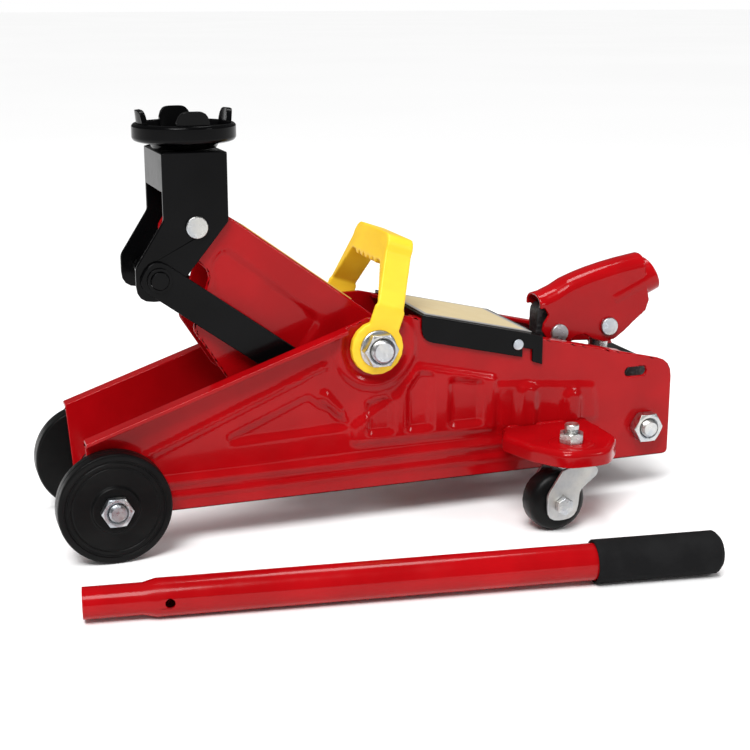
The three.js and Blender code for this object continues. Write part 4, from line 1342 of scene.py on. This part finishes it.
@dataclass
class FrontWheels:
    """The two wide front wheels."""

    groove: float = 0.9 * MM

    def build(self) -> None:
        """Turn both wheels."""
        for side in Side:
            node = f"front_wheel_{side.label}"
            low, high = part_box(node)
            radius = (high.z - low.z) / 2
            width = high.y - low.y
            centre = middle_of(node)
            centre.y = high.y if side is Side.LEFT else low.y
            bore = size_of("front_axle").x / 2 + 0.0004
            proud = 1.6 * MM
            face = width - proud
            g = self.groove
            profile = [
                (bore, 0.0), (radius - 1.8 * MM, 0.0), (radius - 0.6 * MM, 0.5 * MM), (radius, 1.8 * MM),
                (radius, face * 0.48), (radius - 0.35 * MM, face * 0.5), (radius, face * 0.52),
                (radius, face - 1.8 * MM), (radius - 0.5 * MM, face - 0.5 * MM), (radius - 1.8 * MM, face),
                (radius - 4.4 * MM, face), (radius - 4.8 * MM, face - g), (radius - 5.8 * MM, face - g),
                (radius - 6.2 * MM, face - 0.3 * MM), (radius - 8.4 * MM, face - 0.3 * MM),
                (radius - 8.8 * MM, face - g), (radius - 9.6 * MM, face - g),
                (radius - 10.0 * MM, face - 0.5 * MM),
                (17.5 * MM, face - 0.5 * MM), (16.4 * MM, face - 0.2 * MM), (15.6 * MM, width - 0.5 * MM),
                (15.0 * MM, width), (bore + 0.6 * MM, width), (bore, width - 0.6 * MM),
            ]
            wheel = Bench.turned(f"{node}_tyre", profile, Axis.Y, centre, 96, flip=side is Side.LEFT)
            Bench.soften(wheel, 0.00025, 2, 30.0)
            fit(wheel, WHEEL, node)


class Casters:
    """The two swivelling rear wheels."""

    def build(self) -> None:
        """Make both forks, wheels and axles."""
        for side in Side:
            rounded(f"caster_fork_{side.label}", PRESSED, 0.55, 3, 32.0)
            rounded(f"caster_axle_{side.label}", ZINC, 0.5, 2, 32.0)
            rounded(f"caster_wheel_{side.label}", WHEEL, 2.0, 5, 40.0)


@dataclass
class Lifter:
    """The lift arm with its saddle, bracket and links."""

    slope: float = math.radians(36.1)
    panel: Press = Press(
        ((-126.0, 1.0), (-126.0, -16.0), (-98.0, -48.0), (-34.0, -48.0), (-34.0, -4.0)), -1.7, 3.6, 9.0,
    )

    def build(self) -> None:
        """Round and press the arm, and round the rest."""
        rounded("saddle_bracket", BLACK, 0.7)
        fit(self._saddle(), BLACK, "saddle")
        rounded("saddle_retainer", ZINC, 0.5)
        fit(self._arm(), RED, "lift_arm")
        for node, finish, width in (
            ("link_left", BLACK, 0.6),
            ("link_right", BLACK, 0.6),
            ("saddle_pin", ZINC, 0.7),
            ("link_pin", BLACK, 0.5),
            ("ram_pin", STEEL, 0.5),
            ("snap_ring_left", BLACK, 0.2),
            ("snap_ring_right", BLACK, 0.2),
        ):
            rounded(node, finish, width)

    def _arm(self) -> bpy.types.Object:
        """The arm, with a panel pressed into each cheek.

        Returns:
            The arm.
        """
        arm = Bench.of_node("lift_arm", "lift_arm_pressed")
        origin = middle_of("main_shaft")
        for side in Side:
            face = outer_plane("lift_arm", side)
            PressedSheet("lift_arm", side, face, origin, (self.panel,), self.slope).stamp(arm)
        return Bench.soften(arm, 1.2 * MM, 3, 62.0)

    def _saddle(self) -> bpy.types.Object:
        """A cast dish on a stem, with four wide lugs round its rim.

        Returns:
            The saddle.
        """
        low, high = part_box("saddle")
        rim = (high.x - low.x) / 2
        centre = Vector(((low.x + high.x) / 2, (low.y + high.y) / 2, high.z))
        lug = 9.0 * MM
        tall = 17.0 * MM
        stem = high.z - low.z - lug - tall
        base = -lug - tall
        dish = Bench.turned("saddle_dish", [
            (0.0, base - stem), (7.0 * MM, base - stem), (7.0 * MM, base + 0.4 * MM),
            (rim * 0.62, base + 0.4 * MM),
            (rim * 0.66, base + 3.2 * MM), (rim - 4.0 * MM, base + 4.6 * MM), (rim - 1.2 * MM, base + 5.6 * MM),
            (rim, base + 7.4 * MM), (rim, base + tall - 1.6 * MM), (rim - 1.6 * MM, base + tall),
            (rim - 3.2 * MM, base + tall), (rim - 4.4 * MM, base + tall - 1.2 * MM),
            (rim - 5.6 * MM, base + tall - 5.4 * MM), (rim - 10.0 * MM, base + tall - 6.6 * MM),
            (rim * 0.28, base + tall - 6.8 * MM), (rim * 0.25, base + tall - 6.0 * MM),
            (0.0, base + tall - 6.0 * MM),
        ], Axis.Z, centre, 96)
        Bench.bevel(dish, 0.7 * MM, 3, 25.0)
        lugs = [self._lug(centre, rim - 4.4 * MM, -lug - 7.0 * MM, turn * math.pi / 2) for turn in range(4)]
        return Bench.smooth(Bench.join("saddle_casting", dish, *lugs), 42.0)

    def _lug(self, centre: Vector, radius: float, foot: float, heading: float) -> bpy.types.Object:
        """One curved lug with rounded shoulders, leaning a little outward.

        Args:
            centre: The middle of the saddle's top.
            radius: How far out the lug stands.
            foot: How far up its foot is from the centre.
            heading: The way it faces, in radians.

        Returns:
            The lug.
        """
        rows = []
        reach = math.radians(21.0)
        for i in range(15):
            turn = -1.0 + 2.0 * i / 14
            crest = foot * 0.42 * abs(turn) ** 5
            row = []
            for j in range(9):
                rise = j / 8
                z = foot + (crest - foot) * rise
                spread = reach * (1.0 + 0.08 * (1.0 - rise))
                out = radius - 1.6 * MM + 1.6 * MM * rise
                angle = heading + spread * turn
                row.append(centre + Vector((out * math.cos(angle), out * math.sin(angle), z)))
            rows.append(row)
        lug = Bench.lofted("lug", rows)
        Bench.modify(lug, "SOLIDIFY", thickness=3.8 * MM, offset=0.0)
        Bench.outward(lug)
        return Bench.bevel(lug, 1.1 * MM, 3, 50.0)


@dataclass
class PowerUnit:
    """The hydraulic unit, its handle socket and the cover over it.

    The socket's crown and hem are drawn in millimetres back from and above its pivot pin.
    """

    half: float = 13.0
    tube: float = 13.6
    sheet: float = 2.4
    mouth: Point = (83.0, 38.5)
    tilt: float = math.radians(24.0)
    crown: tuple[Point, ...] = (
        (-15.5, 29.5), (-10.0, 30.5), (0.0, 34.5), (9.0, 39.5), (20.0, 43.5), (30.0, 46.5),
        (42.0, 49.5), (54.0, 52.0), (66.0, 54.0), (72.0, 55.0),
    )
    hem: tuple[Point, ...] = (
        (-15.5, 24.0), (-13.0, 21.0), (-8.5, 14.0), (-12.5, 8.0), (-13.5, 2.0), (-8.0, -5.5),
        (0.0, -8.5), (8.0, -7.5),
        (16.0, -3.5), (22.0, -3.0), (30.0, -7.5), (40.0, -10.5), (48.0, -8.5), (56.0, -3.0),
        (64.0, 4.0), (74.0, 12.0),
        (76.5, 20.0), (75.0, 27.0), (72.0, 36.0),
    )

    def build(self) -> None:
        """Round every piece of the unit."""
        for node, finish, width in (
            ("reservoir", RED, 0.8),
            ("ram_cylinder", BLACK, 0.6),
            ("cylinder_cap", BLACK, 0.6),
            ("filler_plug", RUBBER, 0.5),
            ("ram_head", STEEL, 0.6),
            ("ram", STEEL, 0.4),
            ("pump_block", CAST, 1.6),
            ("pump_plunger", STEEL, 0.4),
            ("release_valve", STEEL, 0.5),
            ("socket_pivot_pin", ZINC, 0.8),
            ("push_pin", ZINC, 0.8),
            ("cover_plate", BLACK, 0.5),
            ("cover_rivet_left", ZINC, 0.5),
            ("cover_rivet_right", ZINC, 0.5),
        ):
            rounded(node, finish, width, 3)
        fit(self._socket(), RED, "handle_socket")
        COVER_FILM.coat(frame["nodes"]["cover_label"])
        ARM_FILM.coat(frame["nodes"]["arm_label"])

    def _socket(self) -> bpy.types.Object:
        """A folded sheet round the pump's lug, its back end crimped round the handle.

        Returns:
            The socket.
        """
        pivot = middle_of("socket_pivot_pin")
        rows = [self._arch(pivot, back, top) for back, top in self._along(self.crown, 30)]
        fold = Bench.lofted("socket_fold", rows)
        Bench.modify(fold, "SOLIDIFY", thickness=self.sheet * MM, offset=0.0)
        Bench.outward(fold)
        cheeks = [self._cheek(pivot, side) for side in Side]
        out = Vector((math.cos(self.tilt), 0.0, math.sin(self.tilt)))
        end = pivot + Vector((self.mouth[0] * MM, 0.0, self.mouth[1] * MM))
        r, w, long = self.tube * MM, self.sheet * MM, 40.0 * MM
        ring = [(r - w, -long), (r, -long), (r, 0.0), (r - w, 0.0)]
        tube = Bench.turned("socket_tube", ring, Axis.Z, Vector((0.0, 0.0, 0.0)), 64)
        tube.rotation_euler = out.to_track_quat("Z", "Y").to_euler()
        tube.location = end
        Bench.settle(tube)
        body = Bench.join("socket_sheet", fold, *cheeks, tube)
        return Bench.melted(body, 0.62 * MM, 5, 0.35)

    def _arch(self, pivot: Vector, back: float, top: float) -> list[Vector]:
        """One rounded cross-section of the fold, from one side down to the other.

        Args:
            pivot: The middle of the pivot pin.
            back: How far back the section is.
            top: How far up its top is.

        Returns:
            The section's points.
        """
        half = self.half - self.sheet / 2
        spots = []
        for i in range(25):
            turn = math.pi * i / 24
            y = -half * math.cos(turn)
            lift = math.sin(turn) ** 0.75 * 9.5 - 9.5
            spots.append(pivot + Vector((back * MM, y * MM, (top + lift - self.sheet / 2) * MM)))
        return spots

    def _cheek(self, pivot: Vector, side: Side) -> bpy.types.Object:
        """One flat side of the socket, cut to the hem.

        Args:
            pivot: The middle of the pivot pin.
            side: The side of the jack.

        Returns:
            The cheek.
        """
        crown = [(back, top - 8.5) for back, top in reversed(self.crown)]
        corners = list(self.hem) + crown
        Bench.clear()
        bpy.ops.mesh.primitive_circle_add(vertices=len(corners), radius=0.01, fill_type="NGON")
        cheek = Bench.named("cheek")
        y = side.value * (self.half - self.sheet) * MM
        for vertex, (back, up) in zip(cheek.data.vertices, corners):
            vertex.co = pivot + Vector((back * MM, y, up * MM))
        out = (0.0, side.value * self.sheet * MM, 0.0)
        with Bench.editing(cheek):
            bpy.ops.mesh.extrude_region_move(TRANSFORM_OT_translate={"value": out})
        return Bench.outward(cheek)

    def _along(self, line: Sequence[Point], count: int) -> list[Point]:
        """Evenly spaced points on a line of points.

        Args:
            line: The points of the line.
            count: How many points to lay on it.

        Returns:
            The new points.
        """
        places = np.array(line)
        spots = np.linspace(places[0, 0], places[-1, 0], count)
        return list(zip(spots, np.interp(spots, places[:, 0], places[:, 1])))


@dataclass
class Handles:
    """The yellow carrying handle and the loose pump handle."""

    bumps: int = 5
    bump_step: float = 9.5 * MM
    bump_radius: float = 4.4 * MM
    bar_foot: float = 58.4 * MM
    half_leg: float = 9.5 * MM
    lean: float = math.radians(19.0)
    leg_wall: float = 3.4 * MM
    crown_half: float = 36.0 * MM
    crown_top: float = 77.0 * MM
    crown_round: float = 9.0 * MM
    grip_fill: float = 0.95

    def build(self) -> None:
        """Round both handles."""
        fit(self._carry(), YELLOW, "carry_handle")
        rounded("handle_tube", RED, 0.4, 2, 40.0)
        grip = rounded("handle_grip", FOAM, 1.0, 3, 40.0)

    def _carry(self) -> bpy.types.Object:
        """The carrying handle, with finger bumps under its bar and a boot on each leg.

        Returns:
            The carrying handle.
        """
        shaft = middle_of("main_shaft")
        low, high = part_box("carry_handle")
        lean = Matrix.Rotation(self.lean, 4, "Y")
        extras = []
        for i in range(self.bumps):
            across = (i - (self.bumps - 1) / 2) * self.bump_step
            bump = Bench.bar(
                f"bump_{i}",
                Vector((-self.half_leg, across, self.bar_foot)),
                Vector((self.half_leg, across, self.bar_foot)), self.bump_radius,
            )
            extras.append(bump)
        for side in Side:
            y = side.value * ((high.y - low.y) / 2 - self.leg_wall / 2)
            size = Vector((2 * self.half_leg + 3.6 * MM, self.leg_wall, 20.0 * MM))
            extras.append(Bench.block("boot", Vector((0.0, y, 19.0 * MM)), size))
        blank = self._crown()
        for extra in (*extras, blank):
            extra.data.transform(Matrix.Translation(shaft) @ lean)
        hoop = Bench.of_node("carry_handle")
        Bench.modify(hoop, "BOOLEAN", operation="INTERSECT", object=blank, solver="EXACT")
        bpy.data.objects.remove(blank)
        body = Bench.join("carry_handle_moulding", hoop, *extras)
        return Bench.melted(body, 0.75 * MM, 12, 0.4)

    def _crown(self) -> bpy.types.Object:
        """A blank with two round top corners, that the upright handle is cut with.

        Returns:
            The blank.
        """
        centre_y, centre_z = self.crown_half - self.crown_round, self.crown_top - self.crown_round
        corner = [
            (centre_y + self.crown_round * math.cos(turn), centre_z + self.crown_round * math.sin(turn))
            for turn in np.linspace(0.0, math.pi / 2, 13)
        ]
        half = [(0.07, -0.04), (0.07, centre_z - 0.01), (self.crown_half + 0.001, centre_z - 0.0005), *corner]
        outline = half + [(-y, z) for y, z in reversed(half)]
        Bench.clear()
        bpy.ops.mesh.primitive_circle_add(vertices=len(outline), radius=0.01, fill_type="NGON")
        blank = Bench.named("crown_blank")
        for vertex, (y, z) in zip(blank.data.vertices, outline):
            vertex.co = (-0.04, y, z)
        with Bench.editing(blank):
            bpy.ops.mesh.extrude_region_move(TRANSFORM_OT_translate={"value": (0.08, 0.0, 0.0)})
        return Bench.outward(blank)


# ------------------------------------------------------------------ studio
@dataclass
class Studio:
    """A pale floor, soft light and a long lens."""

    eye: tuple[float, float, float] = (-0.13839, -0.96311, 0.36578)
    look: tuple[float, float, float] = (0.3235, 0.9110, -0.2558)
    lens: float = 69.155
    ambient: float = 0.42
    mirrored: float = 0.10

    def build(self) -> None:
        """Set the floor, the lights and the camera."""
        self._floor()
        self._world()
        self._sun("broad_sun", (-0.35, -0.55, 1.0), 2.4, 30.0)
        self._softbox("key_light", (-0.9, -1.1, 1.5), 0.42, 9.0)
        self._softbox("fill_light", (1.2, -1.2, 0.9), 0.3, 4.0)
        self._softbox("top_light", (0.25, 0.35, 1.6), 0.5, 8.0)
        self._camera()

    def _floor(self) -> None:
        """A wide pale floor at the lowest point of the jack."""
        Bench.clear()
        bpy.ops.mesh.primitive_plane_add(size=60.0, location=(0.0, 0.0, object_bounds()[0].z - 0.0002))
        floor = Bench.settle(Bench.named("studio_floor"))
        sheet = NodeSheet("pale_floor")
        tone = sheet.grain(0.7, 2.0).between(0.3, 0.7)
        sheet.put(Base_Color=sheet.blend(tone, (0.965, 0.965, 0.965), (0.98, 0.98, 0.98)), Roughness=0.85)
        floor.data.materials.append(sheet.material)
        floor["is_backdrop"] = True

    def _world(self) -> None:
        """White to look at, and softer as a light."""
        world = bpy.data.worlds.new("studio")
        world.use_nodes = True
        bpy.context.scene.world = world
        tree = world.node_tree
        back = tree.nodes["Background"]
        back.inputs["Color"].default_value = (1.0, 1.0, 1.0, 1.0)
        path = tree.nodes.new("ShaderNodeLightPath")
        levels = self.ambient
        for ray, level in (("Is Glossy Ray", self.mirrored), ("Is Camera Ray", 1.0)):
            span = tree.nodes.new("ShaderNodeMapRange")
            tree.links.new(path.outputs[ray], span.inputs["Value"])
            if isinstance(levels, float):
                span.inputs["To Min"].default_value = levels
            else:
                tree.links.new(levels, span.inputs["To Min"])
            span.inputs["To Max"].default_value = level
            levels = span.outputs["Result"]
        tree.links.new(levels, back.inputs["Strength"])

    def _sun(self, name: str, place: tuple[float, float, float], power: float, spread: float) -> None:
        """A distant light with soft shadows, from the way of place.

        Args:
            name: The light's name.
            place: The way that it shines from.
            power: Its strength.
            spread: How wide it looks, in degrees.
        """
        lamp = bpy.data.lights.new(name, "SUN")
        lamp.energy = power
        lamp.angle = math.radians(spread)
        light = bpy.data.objects.new(name, lamp)
        light.rotation_euler = (-Vector(place)).to_track_quat("-Z", "Y").to_euler()
        bpy.context.scene.collection.objects.link(light)

    def _softbox(self, name: str, place: tuple[float, float, float], size: float, power: float) -> None:
        """One square soft light, aimed at the jack.

        Args:
            name: The light's name.
            place: Where it stands.
            size: Its side, in metres.
            power: Its power, in watts.
        """
        lamp = bpy.data.lights.new(name, "AREA")
        lamp.shape = "SQUARE"
        lamp.size = size
        lamp.energy = power
        light = bpy.data.objects.new(name, lamp)
        light.location = place
        aim = Vector((0.0, 0.0, 0.1)) - Vector(place)
        light.rotation_euler = aim.to_track_quat("-Z", "Y").to_euler()
        bpy.context.scene.collection.objects.link(light)

    def _camera(self) -> None:
        """Stand the camera off the front axle and the middle of the jack."""
        data = bpy.data.cameras.new("camera")
        data.sensor_width = 36.0
        data.lens = self.lens
        data.clip_end = 100.0
        camera = bpy.data.objects.new("camera", data)
        bpy.context.scene.collection.objects.link(camera)
        start = Vector((middle_of("front_axle").x, middle_of("main_shaft").y, CAD_BOX[0].z))
        camera.location = start + Vector(self.eye)
        camera.rotation_euler = Vector(self.look).to_track_quat("-Z", "Y").to_euler()
        bpy.context.scene.camera = camera
        bpy.context.scene.view_settings.view_transform = "Standard"


def main() -> None:
    """Build every sub-assembly, then the studio."""
    logging.basicConfig(level=logging.INFO, format="%(message)s")
    for kind in (SideFrames, Fasteners, FrontWheels, Casters, Lifter, PowerUnit, Handles, Studio):
        LOG.info("building %s", kind.__name__)
        kind().build()


if __name__ == "__main__":
    main()
